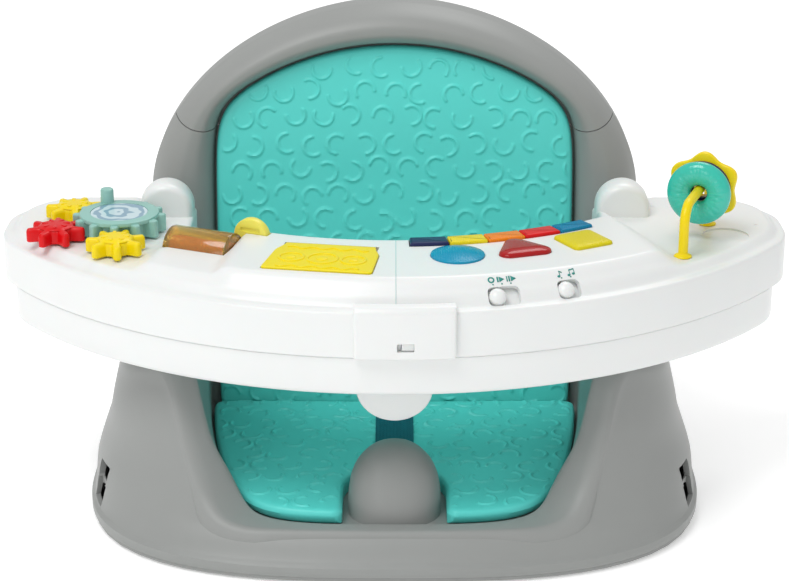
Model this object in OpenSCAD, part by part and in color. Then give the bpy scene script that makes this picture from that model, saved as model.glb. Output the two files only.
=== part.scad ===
// Baby floor seat with a feeding tray and a clip-on activity tray.
// Frame: +X to the right seen from the front, -Y is the front, +Z up,
// origin on the floor under the middle of the base. Millimetres.

/* [Base and seat shell] */
// Half-width of the base on the floor
base_hw = 229; // [215:1:240]
// Half-depth of the base on the floor
base_hd = 172; // [165:1:182]
// Wall of the grey shell
shell_t = 3.5; // [3:0.5:4.5]
// Height of the seat floor under the pad
floor_z = 27; // [25:1:30]
// Height of the front lip
lip_z = 32.5; // [31:0.5:36]
// Inner half-width of the seat
seat_hw = 139; // [134:1:142]
// Underside of the shell rim, on the base plate
rim_z = 4.8; // [4.5:0.1:6]

/* [Backrest] */
// Half-width of the backrest arch
arch_hw = 190; // [184:1:194]
// Height of the top of the arch
arch_top = 348; // [335:1:360]
// Height where the arch starts to curve
arch_z = 203; // [195:1:210]
// How far the backrest leans back, in mm per mm of height
lean = 0.13; // [0.08:0.01:0.16]
// Depth of the rolled rim in front of the back panel
rim_front = 25; // [20:1:28]
// Depth of the rolled rim behind the back panel
rim_rear = 22; // [16:1:26]
// Height of the joint of the top piece at the pad
seam_in = 254; // [245:1:262]
// Height of the joint of the top piece at the outside
seam_out = 284; // [268:1:290]

/* [Pads and strap] */
// Thickness of both foam pads
pad_t = 12; // [9:1:14]
// Height of the top of the back pad
back_pad_top = 316.5; // [308:1:322]
// Radius of the top edge of the back pad
back_pad_r = 217; // [200:1:240]
// Width of the crotch strap
strap_w = 29; // [24:1:32]
// Thickness of the crotch strap
strap_t = 1.8; // [1.4:0.1:2.2]

/* [Pommel] */
// Width of the pommel at its foot
pommel_w = 71; // [64:1:76]
// Height of the pommel
pommel_z = 76; // [72:1:84]
// Distance of the pommel in front of the middle
pommel_y = 107; // [104:1:110]

/* [Trays] */
// Radius of the front edge of the activity tray
tray_r = 345; // [340:1:350]
// Distance of that edge in front of the middle
tray_y = 158; // [154:1:162]
// Depth of the activity tray at its middle
tray_d = 107; // [103:1:111]
// Half-width of the activity tray
tray_hw = 293; // [289:1:297]
// Half-width of the opening for the child
open_hw = 152; // [150:1:156]
// Underside of the feeding tray
feed_z = 136; // [134:0.5:140]
// Height of the feeding tray
feed_h = 28; // [25:1:29]
// How far the feeding tray stays inside the activity tray at the ends
feed_inset = 10; // [8:1:12]
// Height of the deck of the activity tray
deck_z = 202; // [200:0.5:206]
// Height of the toy bar above the deck
bar_h = 12; // [10:0.5:14]
// Wall of the trays
tray_t = 3; // [2.5:0.5:3.5]
// Width of the clip plate over the middle joint
clip_w = 69; // [66:1:80]

/* [Gears] */
// Teeth of the large gear
teeth_large = 12; // [11:1:12]
// Teeth of each small gear
teeth_small = 7; // [6:1:8]
// Gear module, pitch diameter divided by teeth
gear_m = 5.05; // [4.8:0.05:5.1]
// Height of the large gear
large_h = 15; // [12:1:17]
// Height of a small gear
small_h = 12; // [10:1:14]
// Diameter of the gear spindles
spindle_d = 6; // [5:0.5:7]

/* [Toys] */
// Radius of the roller
roller_r = 16; // [14:0.5:17]
// Length of the roller
roller_l = 50; // [46:1:52]
// Thickness of the flap
flap_t = 2.6; // [2:0.2:3]
// Radius of the click wheel
wheel_r = 13.7; // [12:0.1:14]
// Travel of the keys
key_travel = 2; // [1.5:0.1:2.2]
// Travel of the three buttons
button_travel = 2.2; // [1.6:0.1:2.4]
// Diameter of the round button
round_d = 38; // [34:1:39]
// Side of the square button
square_w = 32; // [28:1:33]
// Diameter of the knobs of the slide switches
knob_d = 12; // [10:0.5:12.5]
// Diameter of the ring bar
bar_d = 7; // [6:0.5:7.5]
// Height of the middle of the ring bar at its top
bar_top = 239; // [235:1:243]
// Outer diameter of the teal ring
ring_d = 47; // [42:1:50]

/* [Fits] */
// Gap between parts that move past each other
gap = 0.3; // [0.25:0.05:0.4]
// Gap all round a shaft in its bore
run = 0.05; // [0.03:0.01:0.08]
// Gap around the foam pads
pad_gap = 1.5; // [1:0.5:2]

/* [Hidden] */

grey = [0.63, 0.63, 0.62];
foam = [0.25, 0.78, 0.75];
web_teal = [0.0, 0.36, 0.42];
white = [0.93, 0.93, 0.93];
yellow = [0.93, 0.86, 0.10];
red = [0.88, 0.12, 0.12];
teal = [0.45, 0.72, 0.70];
steel = [0.72, 0.73, 0.75];
black = [0.10, 0.10, 0.11];
navy = [0.16, 0.17, 0.38];
orange = [0.97, 0.55, 0.15];
blue = [0.0, 0.62, 0.78];

// ---- General forms -------------------------------------------------------

function clamp01(v) = max(0, min(1, v));
function smooth(v) = let(u = clamp01(v)) u * u * (3 - 2 * u);
function mix(a, b, t) = a + (b - a) * t;

// Radius of a rounded outline in direction f, with f = 0 to the front and 90 to the side.
function oval(f, hw, front, rear, n) =
    let(d = cos(f) > 0 ? front : rear)
    1 / pow(pow(abs(sin(f)) / hw, n) + pow(abs(cos(f)) / d, n), 1 / n);

// Two distances joined with a soft corner, larger k is sharper.
function soft_min(a, b, k) = 1 / pow(pow(1 / a, k) + pow(1 / b, k), 1 / k);

// Skin through closed rings that all have as many points, flat at both ends.
module loft(rings) {
    n = len(rings[0]);
    m = len(rings);
    polyhedron(
        points = [for (r = rings) each r],
        faces = concat(
            [[for (i = [n - 1:-1:0]) i]],
            [for (j = [0:m - 2], i = [0:n - 1], s = [0, 1])
                let(a = j * n + i, b = j * n + (i + 1) % n)
                s == 0 ? [a, b, b + n] : [a, b + n, a + n]],
            [[for (i = [0:n - 1]) (m - 1) * n + i]]
        ),
        convexity = 8
    );
}

// Keeps its children as one moulded mesh of their own size.
module moulded() {
    resize([0, 0, 0]) children();
}

// ---- Seat shell ----------------------------------------------------------

foot_top = 15;
wall_n = 2.8;
wall_rear_n = 5;
seat_n = 3.5;
seat_rear_n = 24;
seat_low_n = 6;
arm_slope = 30;
arm_sweep = 34;
arm_z = feed_z - gap;

// Half-width and half-depths of the outside at a height.
function wall_hw(z) = base_hw + lookup(z, [[0, -3], [5, 0], [12, 0], [foot_top, -2.5], [39, -5],
    [53, -9.5], [66, -14.5], [86, -18.5], [110, -24], [138, -29]]);
function wall_front(z) = base_hd + lookup(z, [[0, -3], [5, 0], [12, 0], [foot_top, -4], [25, -13],
    [32, -21], [39, -26], [53, -33], [66, -37], [86, -43], [110, -50], [138, -58]]);
function wall_rear(z) = base_hd + lookup(z, [[0, -3], [5, 0], [12, 0], [foot_top, -3], [39, -7],
    [66, -13], [86, -17], [110, -22], [138, -28]]);
function wall_r(f, z) = oval(f, wall_hw(z), wall_front(z), wall_rear(z), cos(f) > 0 ? wall_n : wall_rear_n);

// Front face of the back panel at a height.
panel_y0 = 79;
function panel_y(z) = panel_y0 + lean * (z - 25);

// Outline whose sides draw in to the front and widen to the back, up to a height, in direction f.
function basin(f, up, hw, front, rear, rear_n) =
    let(c = cos(f), s = abs(sin(f)), draw = (0.14 + 0.1 * c) * (1 - up))
    soft_min(hw / max(0.05, s + draw * c), (c > 0 ? front : rear) / max(0.01, abs(c)),
        c > 0 ? mix(seat_low_n, seat_n, up) : rear_n);

// Radius of the seat's inside at a height: it follows the seat pad below and opens out above it.
function seat_r(f, z) = basin(f, smooth((z - floor_z - pad_t) / 56), seat_hw + 0.115 * max(0, z - 40),
    base_hd - lookup(z, [[floor_z, 34], [lip_z, 29]]), panel_y(z) + 2, seat_rear_n);

// Height of the top edge: low lip in front, then up to the arms.
function edge_z(f) = let(a = f > 180 ? 360 - f : f)
    mix(lip_z, arm_z, smooth(pow(clamp01((a - arm_slope) / arm_sweep), 1.8)));

function polar(f, r, z) = [r * sin(f), -r * cos(f), z];

// Radius of the roll at the outer top edge.
function edge_roll(f) = let(h = edge_z(f)) min(26 - 10 * smooth(-2 * cos(f)), 0.5 * (h - foot_top), 0.62 * (wall_r(f, h) - seat_r(f, h)));
// Radius of the roll at the inner top edge, larger where the arms rise.
function inner_roll(f) = let(h = edge_z(f))
    min(9 + 12 * smooth(2 * cos(f)), 0.3 * (h - floor_z), 0.34 * (wall_r(f, h) - seat_r(f, h)));
// Extra wall behind the corners of the pad's room.
function corner_wall(f) = 9 * smooth(1 - abs(abs(f - 180) - 60) / 30);

// Outline of the shell's outside, top edge and inside in direction f, from the floor's middle outwards.
function shell_outside(f) =
    let(h = edge_z(f), w = wall_r(f, h) - seat_r(f, h),
        ro = edge_roll(f), ri = inner_roll(f),
        rf = min(6, 0.4 * (h - floor_z)), zo = h - ro, zi = h - ri, si = seat_r(f, zi), so = wall_r(f, zo))
    concat(
        [[0.45 * seat_r(f, floor_z), floor_z], [seat_r(f, floor_z) - rf, floor_z]],
        [[seat_r(f, floor_z + rf) - 0.3 * rf, floor_z + 0.3 * rf], [seat_r(f, floor_z + rf), floor_z + rf]],
        [[seat_r(f, mix(floor_z + rf, zi, 0.5)), mix(floor_z + rf, zi, 0.5)]],
        [for (a = [0, 35, 90]) [si + ri * (1 - cos(a)), zi + ri * sin(a)]],
        [for (a = [90, 64, 36, 0]) [so - ro * (1 - cos(a)), zo + ro * sin(a)]],
        [for (t = [0.7, 0.4, 0.2]) let(z = mix(foot_top, zo, t)) [wall_r(f, z), z]],
        [for (z = [foot_top, 12, 7]) [wall_r(f, z), z]],
        [[wall_r(f, rim_z) - 1, rim_z]]
    );

// The same for the hollow underneath, back to the middle.
function shell_inside(f) =
    let(h = edge_z(f), w = wall_r(f, h) - seat_r(f, h), t = shell_t,
        k = clamp01((w - 2 * t - 2) / 6), zu = mix(floor_z - t + 0.5, h - t, k),
        mid = (wall_r(f, h) + seat_r(f, h)) / 2, q = edge_roll(f), zr = min(mix(foot_top, zu - 1, 0.75), h - q),
        tc = t + corner_wall(f), zl = mix(min(floor_z - t + 3, zu - 1), zu, 0.6),
        ro = max(mid + 0.5, wall_r(f, zu) - max(q, t + 4)),
        ri = min(mid - 0.5, seat_r(f, zu) + max(tc + 2, inner_roll(f))))
    concat(
        [[wall_r(f, rim_z) - 1 - t, rim_z], [wall_r(f, foot_top) - t, foot_top]],
        [for (z = [mix(foot_top, zr, 0.4), zr]) [max(ro, wall_r(f, z) - t), z]],
        [[ro, zu], [ri, zu], [min(ri, seat_r(f, zl) + tc + 1), zl]],
        [[min(ri, seat_r(f, floor_z) + tc), min(floor_z - t + 3, zu - 1)]],
        [[seat_r(f, floor_z) - 3, floor_z - t], [0.45 * seat_r(f, floor_z), floor_z - t]]
    );

shell_steps = 48;
// Directions bunch up where the arms rise.
function shell_f(i) = let(u = 360 * i / shell_steps) u + 5.2 * sin(4 * u);

module tub() {
    outline = [for (i = [0:shell_steps - 1]) let(f = shell_f(i))
        [for (p = concat(shell_outside(f), shell_inside(f))) polar(f, p[0], p[1])]];
    loft([for (j = [0:len(outline[0]) - 1]) [for (i = [0:shell_steps - 1]) outline[i][j]]]);
}

// Backrest: outlines seen from the front, around the middle of the arch.
slab_steps = 48;
pocket_hw = seat_hw + pad_gap;
slab_foot = 25;
slab_cut = 113;
arch_n = 1.9;
function arch_r(a) = sin(a) >= 0
    ? 1 / pow(pow(abs(cos(a)) / arch_hw, arch_n) + pow(sin(a) / (arch_top - arch_z), arch_n), 1 / arch_n)
    : soft_min(arch_hw / max(0.01, abs(cos(a))), (arch_z - slab_foot) / abs(sin(a)), 14);
function top_arc(a, r, top) = let(c = top - r - arch_z) c * sin(a) + sqrt(r * r - pow(c * cos(a), 2));
function pad_r(a, hw, top, foot) = soft_min(hw / max(0.01, abs(cos(a))),
    sin(a) > -0.2 ? top_arc(a, back_pad_r + (top - back_pad_top), top) : (arch_z - foot) / abs(sin(a)),
    sin(a) > -0.2 ? 16 : 40);
// Directions of the pad's outline, drawn to its lower corners.
function pad_angle(i) = let(b = -360 * i / slab_steps) b + (sin(b) < -0.5 ? 1.9 * cos(b) : 0);
function pocket_r(a) = min(arch_r(a) - 1.5, pad_r(a, pocket_hw, back_pad_top + pad_gap, slab_foot + 1.5));

// Point of the slab at angle a, distance r from the arch's middle and depth d behind the panel's face.
function slab_pt(a, r, d) = let(z = arch_z + r * sin(a)) [r * cos(a), panel_y(z) + d, z];
// Rolled rim: share of the way from pocket to outside, and depth.
rim_roll = [[0, 0], [0.06, -0.5], [0.16, -0.78], [0.32, -0.97], [0.5, -1], [0.7, -0.86], [0.88, -0.5]];
slab_angles = [for (i = [0:slab_steps - 1]) 360 * i / slab_steps];

function slab_ring(w, d, t) = [for (a = slab_angles)
    let(ri = pocket_r(a), ro = arch_r(a), e = min(t, 0.4 * (ro - ri))) slab_pt(a, mix(ri + e, ro - e, w), d)];

module backrest() {
    pan = 4;
    t = shell_t;
    loft(concat(
        [[for (a = slab_angles) slab_pt(a, 0.5 * pocket_r(a), 0)]],
        [for (p = rim_roll) slab_ring(p[0], p[1] * rim_front, 0)],
        [slab_ring(1, 0, 0), slab_ring(1, rim_rear, 0), slab_ring(1, rim_rear, t), slab_ring(1, 0, t)],
        [for (i = [len(rim_roll) - 1:-1:2]) slab_ring(rim_roll[i][0], rim_roll[i][1] * (rim_front - t), t)],
        [slab_ring(0, pan, t), [for (a = slab_angles) slab_pt(a, 0.5 * pocket_r(a), pan)]]
    ));
}

// Room for the back pad in front of the panel.
module pad_pocket() {
    loft([for (d = [2, -16]) [for (i = [0:slab_steps - 1]) let(a = pad_angle(i))
        slab_pt(a, pad_r(a, pocket_hw + 0.5, back_pad_top + pad_gap, floor_z + 0.3), d)]]);
}

// Everything above the joint of the top piece, g wider or narrower.
module above_seam(g) {
    translate([0, 250, 0]) rotate([90, 0, 0]) linear_extrude(300) polygon(concat(
        [for (s = [-1, 1], i = [0:4]) let(t = s < 0 ? 1 - i / 4 : i / 4, w = arch_hw + 5)
            [s * mix(pocket_hw, w, t), mix(seam_in, seam_out, t * t) + g]],
        [[arch_hw + 5, arch_top + 20], [-arch_hw - 5, arch_top + 20]]));
}

// Tongues of the top piece lie behind the lower panel and take the screws.
tongue_x = 75;
tongue_w = 34;
tongue_h = 30;
module tongue(x) {
    z0 = seam_in - tongue_h;
    z1 = seam_in + 14;
    y0 = 4 + gap;
    translate([x - tongue_w / 2, 0, 0]) rotate([90, 0, 90]) linear_extrude(tongue_w) polygon([
        [panel_y(z0) + y0, z0], [panel_y(z0) + y0 + 3.5, z0], [panel_y(z1) + y0 + 3.5, z1],
        [panel_y(z1) + 2, z1], [panel_y(seam_in + 2) + 2, seam_in + 2], [panel_y(seam_in + 2) + y0, seam_in + 2]]);
}
module at_arch_screws() {
    for (x = [-tongue_x, tongue_x], s = [-9, 9]) {
        z = seam_in - tongue_h / 2;
        translate([x + s, panel_y(z), z]) rotate([-90, 0, 0]) children();
    }
}

pommel_rings = [[-0.1, 1, 1], [0.25, 1, 1], [0.5, 0.95, 0.92], [0.68, 0.84, 0.8], [0.82, 0.67, 0.63],
    [0.93, 0.45, 0.42], [0.985, 0.24, 0.22], [1, 0.14, 0.14]];
module pommel(t) {
    z0 = floor_z - shell_t;
    steps = 24;
    loft([for (p = pommel_rings) [for (i = [0:steps - 1]) let(f = -360 * i / steps,
        r = oval(f, p[1] * (pommel_w / 2) - t, p[2] * 31 - t, p[2] * 30 - t, 2.3))
        [r * sin(f), -pommel_y - r * cos(f) + 10 * p[0], max(z0 - 0.5, mix(z0, pommel_z, p[0])) - t]]]);
}

// Strap slots in the sides of the base.
slot_l = 21;
slot_h = 13.7;
slot_y = 67;
slot_z = 31;
slot_turn = 20;
module at_slots() {
    for (s = [0, 1]) mirror([s, 0, 0])
        translate([213.5 - (229 - base_hw), -slot_y, 0]) rotate([0, 0, -slot_turn]) children();
}

screw_xy = [[-114, -82], [114, -82], [-128, 40], [128, 40], [-60, 62], [60, 62]];
module screw_bosses() {
    for (p = screw_xy) translate([p[0], p[1], 0]) difference() {
        translate([0, 0, rim_z]) cylinder(d = 9, h = floor_z - shell_t - rim_z + 1, $fn = 20);
        translate([0, 0, rim_z - 1]) cylinder(d = 3.2, h = 14, $fn = 16);
    }
}

module seat_body() {
    color(grey) moulded() difference() {
        union() {
            difference() {
                tub();
                pad_pocket();
            }
            difference() {
                backrest();
                above_seam(0);
                translate([0, 0, slab_cut - 100]) cube([500, 500, 200], center = true);
            }
            pommel(0);
            screw_bosses();
        }
        pommel(shell_t);
        at_slots() {
            translate([-25, -slot_l / 2, slot_z]) cube([50, slot_l, slot_h]);
            translate([-0.5, -slot_l / 2 - 1, slot_z - 15.5]) cube([20, slot_l + 2, 15.51]);
        }
        at_arch_screws() {
            cylinder(d = 3.4, h = 12, center = true, $fn = 16);
            cylinder(d = 7.4, h = 3.2, center = true, $fn = 24);
        }
        translate([0, -strap_front, floor_z - 8]) cube([strap_w + 4, 5, 20], center = true);
        translate([0, strap_rear, floor_z - 8]) cube([strap_w + 4, 5, 20], center = true);
    }
}

module backrest_top() {
    color(grey) moulded() difference() {
        union() {
            intersection() {
                backrest();
                above_seam(0.4);
            }
            for (x = [-tongue_x, tongue_x]) tongue(x);
        }
        at_arch_screws() cylinder(d = 3.2, h = 30, center = true, $fn = 16);
    }
}

// Screws through the panel into the tongues, heads under the pad.
module arch_screws() {
    color(steel) at_arch_screws() {
        translate([0, 0, 0.45]) cylinder(d = 7, h = 1.05);
        translate([0, 0, 1.4]) cylinder(d = 3, h = 9);
    }
}

// ---- Base ----------------------------------------------------------------

foot_h = 1.6;
plate_t = rim_z - gap - foot_h;
foot_xy = [[-165, -95], [165, -95], [-165, 95], [165, 95]];
module base_plate() {
    color(grey) difference() {
        translate([0, 0, foot_h]) linear_extrude(plate_t) polygon([for (i = [0:71]) let(f = 5 * i)
            (wall_r(f, rim_z) - 1.5) * [sin(f), -cos(f)]]);
        for (p = foot_xy) translate([p[0], p[1], foot_h - 1]) cylinder(d = 26 + 2 * gap, h = 1 + 1);
        for (p = screw_xy) translate([p[0], p[1], foot_h - 1]) {
            cylinder(d = 3.4, h = 10);
            cylinder(d = 7, h = 1 + 1.5);
        }
        for (x = [-60:30:60]) translate([x, 0, 0]) linear_extrude(10) square([8, 60], center = true);
    }
}

module rubber_feet() {
    color(black) for (p = foot_xy) translate([p[0], p[1], 0]) {
        translate([0, 0, 0.6]) cylinder(d = 26, h = foot_h + 0.8 - 0.6);
        cylinder(d1 = 24.8, d2 = 26, h = 0.6);
    }
}

module base_screws() {
    color(steel) for (p = screw_xy) translate([p[0], p[1], 0]) {
        translate([0, 0, foot_h + 0.2]) cylinder(d = 6.2, h = 1.2);
        translate([0, 0, foot_h + 1.3]) cylinder(d = 3, h = 13);
    }
}

// ---- Pads and strap ------------------------------------------------------

pad_steps = slab_steps;
pad_foot = floor_z + 1.6;
// Inset and depth of the pad's sections: drawn-in back edge, full middle, rounded crown.
pad_profile = [[2.5, 0], [0.8, 0.1], [0, 0.3], [0, 0.62], [0.8, 0.82], [2.6, 0.95], [6, 1], [40, 1.02]];

module back_pad() {
    color(foam) moulded() loft([for (p = pad_profile) [for (i = [0:pad_steps - 1])
        let(a = pad_angle(i), r = pad_r(a, seat_hw, back_pad_top, pad_foot) - p[0])
        slab_pt(a, r, -gap - p[1] * (pad_t - gap))]]);
}

strap_front = 50;
strap_rear = 58;
// The seat pad is drawn in further below, over the fillet of the seat floor.
seat_profile = concat([[7, 0], [3.4, 0.1], [1.2, 0.3]], [for (i = [3:7]) pad_profile[i]]);
function seat_pad_r(f) = basin(f, 0, seat_hw - 2.2, base_hd - 35.7, panel_y(floor_z) - pad_t - 1, 30);
// Directions of its outline, drawn to the rear corners.
function seat_pad_f(i) = let(u = 360 * i / pad_steps) u + 2.85 * sin(u);
module seat_pad() {
    z0 = floor_z + gap;
    color(foam) moulded() difference() {
        loft([for (p = seat_profile) [for (i = [0:pad_steps - 1]) let(f = -seat_pad_f(i),
            r = seat_pad_r(f) - p[0]) polar(f, r, z0 + p[1] * (pad_t - gap))]]);
        hull() {
            translate([0, -pommel_y + 13, z0 - 1]) cylinder(r = pommel_w / 2 + 3, h = 40, $fn = 32);
            translate([0, -base_hd, z0 - 1]) cylinder(r = pommel_w / 2 + 3, h = 40, $fn = 32);
        }
        translate([0, -strap_front, z0 + 5]) cube([strap_w + 3, 5, 30], center = true);
        translate([0, strap_rear, z0 + 5]) cube([strap_w + 3, 5, 30], center = true);
    }
}

// Flat webbing over the seat pad, both ends turned down through the pad and the floor.
module crotch_strap() {
    z = floor_z + pad_t + 0.35;
    drop = 16;
    color(web_teal) translate([-strap_w / 2, 0, 0]) rotate([90, 0, 90]) linear_extrude(strap_w) union() {
        translate([-strap_front, z]) square([strap_front + strap_rear, strap_t]);
        translate([-strap_front - strap_t / 2, z - drop]) square([strap_t, drop + strap_t]);
        translate([strap_rear - strap_t / 2, z - drop]) square([strap_t, drop + strap_t]);
    }
}

// ---- Trays ---------------------------------------------------------------

// Radius of the edge towards the child, and distance of the arcs' common centre behind the middle.
child_r = tray_r - tray_d;
tray_cy = tray_r - tray_y;
// Point at angle p from the front and radius r about the common centre.
function tray_pt(p, r) = [r * sin(p), tray_cy - r * cos(p)];
wing_hw = arch_hw + 5.5;
wing_y = 62;
lobe_y = 85;
arc_p = [4, 8, 12, 16, 20, 22, 23.5, 25, 26.5, 28, 30.5, 32.5, 34.5, 36.5, 38.5, 40.5, 42.5, 46, 50];

// Pairs of outer and inner points along one half of a tray, drawn in by g.
// r, hw: radius and half-width; rf, rr: corner radii, rr within the side; back: how far the lobe's rear is drawn in.
function corner_y(r, hw, rf) = tray_cy - sqrt(pow(r - rf, 2) - pow(hw - rf, 2));
function arc_places(r, hw, rf) = [for (p = arc_p) if (p < atan2(hw - rf, tray_cy - corner_y(r, hw, rf)) - 2) p];
function tray_pairs(r, hw, rf, rear_r, back, seam, g) =
    let(cx = hw - rf, cy = corner_y(r, hw, rf), pt = atan2(cx, tray_cy - cy),
        rear = lobe_y - back, rr = min(rear_r, rear - cy - 3), qx = hw - rr, qy = rear - rr,
        oi = open_hw + g, ri = child_r + g, wy = wing_y - g, wx = wing_hw + g)
    concat(
        [[[seam + g, tray_cy - r + g], [seam + g, tray_cy - ri]]],
        [for (p = arc_places(r, hw, rf)) [tray_pt(p, r - g),
            ri * sin(p) < oi ? tray_pt(p, ri) : [oi, min(wy, tray_cy - oi / tan(p))]]],
        [for (k = [0:3]) let(a = mix(pt - 90, 0, k / 3))
            [[cx + (rf - g) * cos(a), cy + (rf - g) * sin(a)], [mix(oi + 6, wx, k / 4), wy]]],
        [[[hw - g, mix(cy, qy, 0.6)], [wx, wy]]],
        [for (k = [0:4]) let(a = 22.5 * k)
            [[qx + (rr - g) * cos(a), qy + (rr - g) * sin(a)], [wx, mix(wy, rear - g, (k + 1) / 5)]]]
    );

// Height of the toy bar (0 to 1) at angle p and radius r, right and left half.
function bar_right(p, r) = smooth((40.3 + (307 - r) * 0.07 - p) / 4.5);
function bar_left(p, r) = 0.46 * smooth((36.4 + (307 - r) * 0.07 - p) / 3.2)
    + 0.54 * smooth((27.1 + (250 - r) * 0.055 - p) / 2);

rim_drop = deck_z - 194.5;
slope_d = 11;
// Height above the deck at distance d from the outer edge of a section of length l.
function deck_shape(d, l) = lookup(d, [[0, -rim_drop], [1.5, -5.5], [6, -5], [14, 0],
    [l - 6, 0], [l - 1.5, -1.2], [l, -3.5]]);
function bar_shape(d, l) = lookup(d, [[0, 0], [6, 0], [14, 0.32], [21, 0.86], [24.5, 1],
    [l - 5, 1], [l, 0.8]]);

skirt_z = feed_z + feed_h + gap;
// One half of the activity tray as a solid, drawn in and lowered by g.
module toy_half(seam, left, g) {
    pairs = tray_pairs(tray_r, tray_hw, 60, 43, 0, seam, g);
    places = concat([0], arc_places(tray_r, tray_hw, 60));
    foot = g > 0 ? skirt_z - 5 : skirt_z;
    loft([for (i = [0:len(pairs) - 1])
        let(o = pairs[i][0], q = pairs[i][1], l = norm(o - q), p = i < len(places) ? places[i] : 90,
            ds = [0, 1.5, 6, 14, 21, 24.5, l / 2, l - 5, l - 1.5, l])
        concat(
            [[o[0], o[1], foot]],
            [for (d = ds) let(b = left ? bar_left(p, tray_r - d) : bar_right(p, tray_r - d), m = mix(o, q, d / l))
                [m[0], m[1], deck_z + deck_shape(d, l) + bar_h * b * bar_shape(d, l) - g]],
            [[q[0], q[1], foot]]
        )]);
}

// Places its children at angle p and radius r, local -Y outwards.
module on_tray(p, r, z) {
    translate([0, tray_cy, 0]) rotate([0, 0, p]) translate([0, -r, z]) children();
}
// Part of a ring about the common centre between two angles.
module arc_block(p0, p1, r0, r1, z0, z1) {
    translate([0, tray_cy, z0]) rotate([0, 0, p0 - 90]) rotate_extrude(angle = p1 - p0, $fn = 180)
        translate([r0, 0]) square([r1 - r0, z1 - z0]);
}

// Rounded pillar beside the backrest, drawn in by g.
ear_w = 41;
ear_x = open_hw + 0.5 + ear_w / 2;
ear_y = 47.5;
ear_d = 13.5;
ear_top = 227;
module ear(g) {
    r = ear_w / 2 - g;
    hull() {
        for (s = [[ear_d - g, r - 5], [ear_d - 3.5, r - 1.2], [ear_d - 6, r]])
            translate([ear_x, ear_y + s[0], ear_top - ear_w / 2]) rotate([90, 0, 0]) cylinder(r = s[1], h = 2 * s[0], $fn = 22);
        translate([ear_x - r, ear_y - ear_d + g, deck_z - 2 - 2 * g]) cube([2 * r, 2 * (ear_d - g), 1]);
    }
}

seam_x = 1;
bar_z = deck_z + bar_h;
// Toy bar slope that carries the slide switches.
slope_z = deck_z + 0.2;
slope_tilt = 46;
power_p = 12.9;
melody_p = 21;
power_l = 22.6;
melody_l = 16.6;
window_w = 14;
module on_slope(p) {
    on_tray(p, tray_r - slope_d, slope_z) rotate([slope_tilt, 0, 0]) children();
}
module window(l) {
    translate([0, 0, -8]) linear_extrude(20) {
        square([l - 6, window_w], center = true);
        square([l, window_w - 6], center = true);
        for (x = [-1, 1], y = [-1, 1]) translate([x * (l / 2 - 3), y * (window_w / 2 - 3)]) circle(r = 3, $fn = 16);
    }
}

button_r = tray_r - 66;
round_p = 9.1;
triangle_p = 18.7;
square_p = 28.8;
// Outlines of the three buttons, larger by g.
module round_2d(g) {
    circle(d = round_d + 2 * g, $fn = 56);
}
module triangle_2d(g) {
    hull() for (a = [90, 210, 330]) rotate(a) translate([a == 90 ? 12.8 : 13.5, 0]) circle(r = 7.5 + g, $fn = 24);
}
module square_2d(g) {
    hull() for (x = [-1, 1], y = [-1, 1]) translate([x, y] * (square_w / 2 - 4)) circle(r = 4 + g, $fn = 20);
}

keys_n = 5;
key_p0 = 5.6;
key_pitch = 6.35;
key_in = child_r + 4;
key_out = child_r + 19.2;

bar_foot_a = [206, -57];
bar_foot_b = [234, 18];
foot_d = 13;
module right_holes() {
    arc_block(key_p0 - key_pitch / 2 - 0.1, key_p0 + (keys_n - 0.5) * key_pitch + 0.1,
        key_in, key_out, deck_z - 10, bar_z + 5);
    on_tray(round_p, button_r, deck_z - 5) linear_extrude(30) round_2d(gap);
    on_tray(triangle_p, button_r, deck_z - 5) linear_extrude(30) triangle_2d(gap);
    on_tray(square_p, button_r, deck_z - 5) linear_extrude(30) square_2d(gap);
    on_slope(power_p) window(power_l);
    on_slope(melody_p) window(melody_l);
    for (p = [bar_foot_a, bar_foot_b]) translate([p[0], p[1], deck_z - 10]) {
        cylinder(d = bar_d + 2 * gap, h = 30, $fn = 24);
        translate([0, 0, 9.9]) cylinder(d = foot_d + 2 * gap, h = 5, $fn = 32);
    }
    translate([244, -8, deck_z - 1.2]) cylinder(d = 34, h = 5, $fn = 40);
    translate([latch_x0 - gap, tray_cy - tray_r - 2, latch_z - 2.3 - gap]) cube([8.5 + 2 * gap, 12, 4.6 + 2 * gap]);
}

latch_x = 7.5;
latch_x0 = seam_x + gap / 2 + tray_t + 2 * gap;
latch_z = 173.2;
clip_t = 4.6;
// Clip plate of the left half that reaches over the right half.
module clip_plate() {
    p0 = asin(-27.5 / tray_r);
    p1 = asin((clip_w - 27.5) / tray_r);
    difference() {
        union() {
            arc_block(p0, p1, tray_r + 0.4, tray_r + clip_t, skirt_z, deck_z - 5);
            arc_block(p0, p1, tray_r - 5.6, tray_r + clip_t - 1.5, deck_z - 4.6, deck_z - 0.4);
            arc_block(p0, p1, tray_r + 0.4, tray_r + clip_t - 1.5, deck_z - 5.01, deck_z - 1.5);
            arc_block(p0, 0, tray_r - 2, tray_r + 1, skirt_z, deck_z - 8);
        }
        translate([latch_x - 5.8, tray_cy - tray_r - 10, latch_z - 3]) cube([11.6, 12, 6]);
    }
}

module toy_tray_right() {
    boss_z = cover_z + cover_t + gap;
    color(white) moulded() difference() {
        union() {
            difference() {
                union() {
                    toy_half(seam_x + gap / 2, false, 0);
                    ear(0);
                }
                toy_half(seam_x + gap / 2, false, tray_t);
                ear(tray_t);
            }
            for (a = screw_at) on_tray(a[0], a[1], boss_z) cylinder(d = 8, h = deck_z - 6.5 - boss_z, $fn = 20);
        }
        right_holes();
        for (a = screw_at) on_tray(a[0], a[1], boss_z - 1) cylinder(d = 3 + 2 * run, h = 12, $fn = 20);
    }
}

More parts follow.
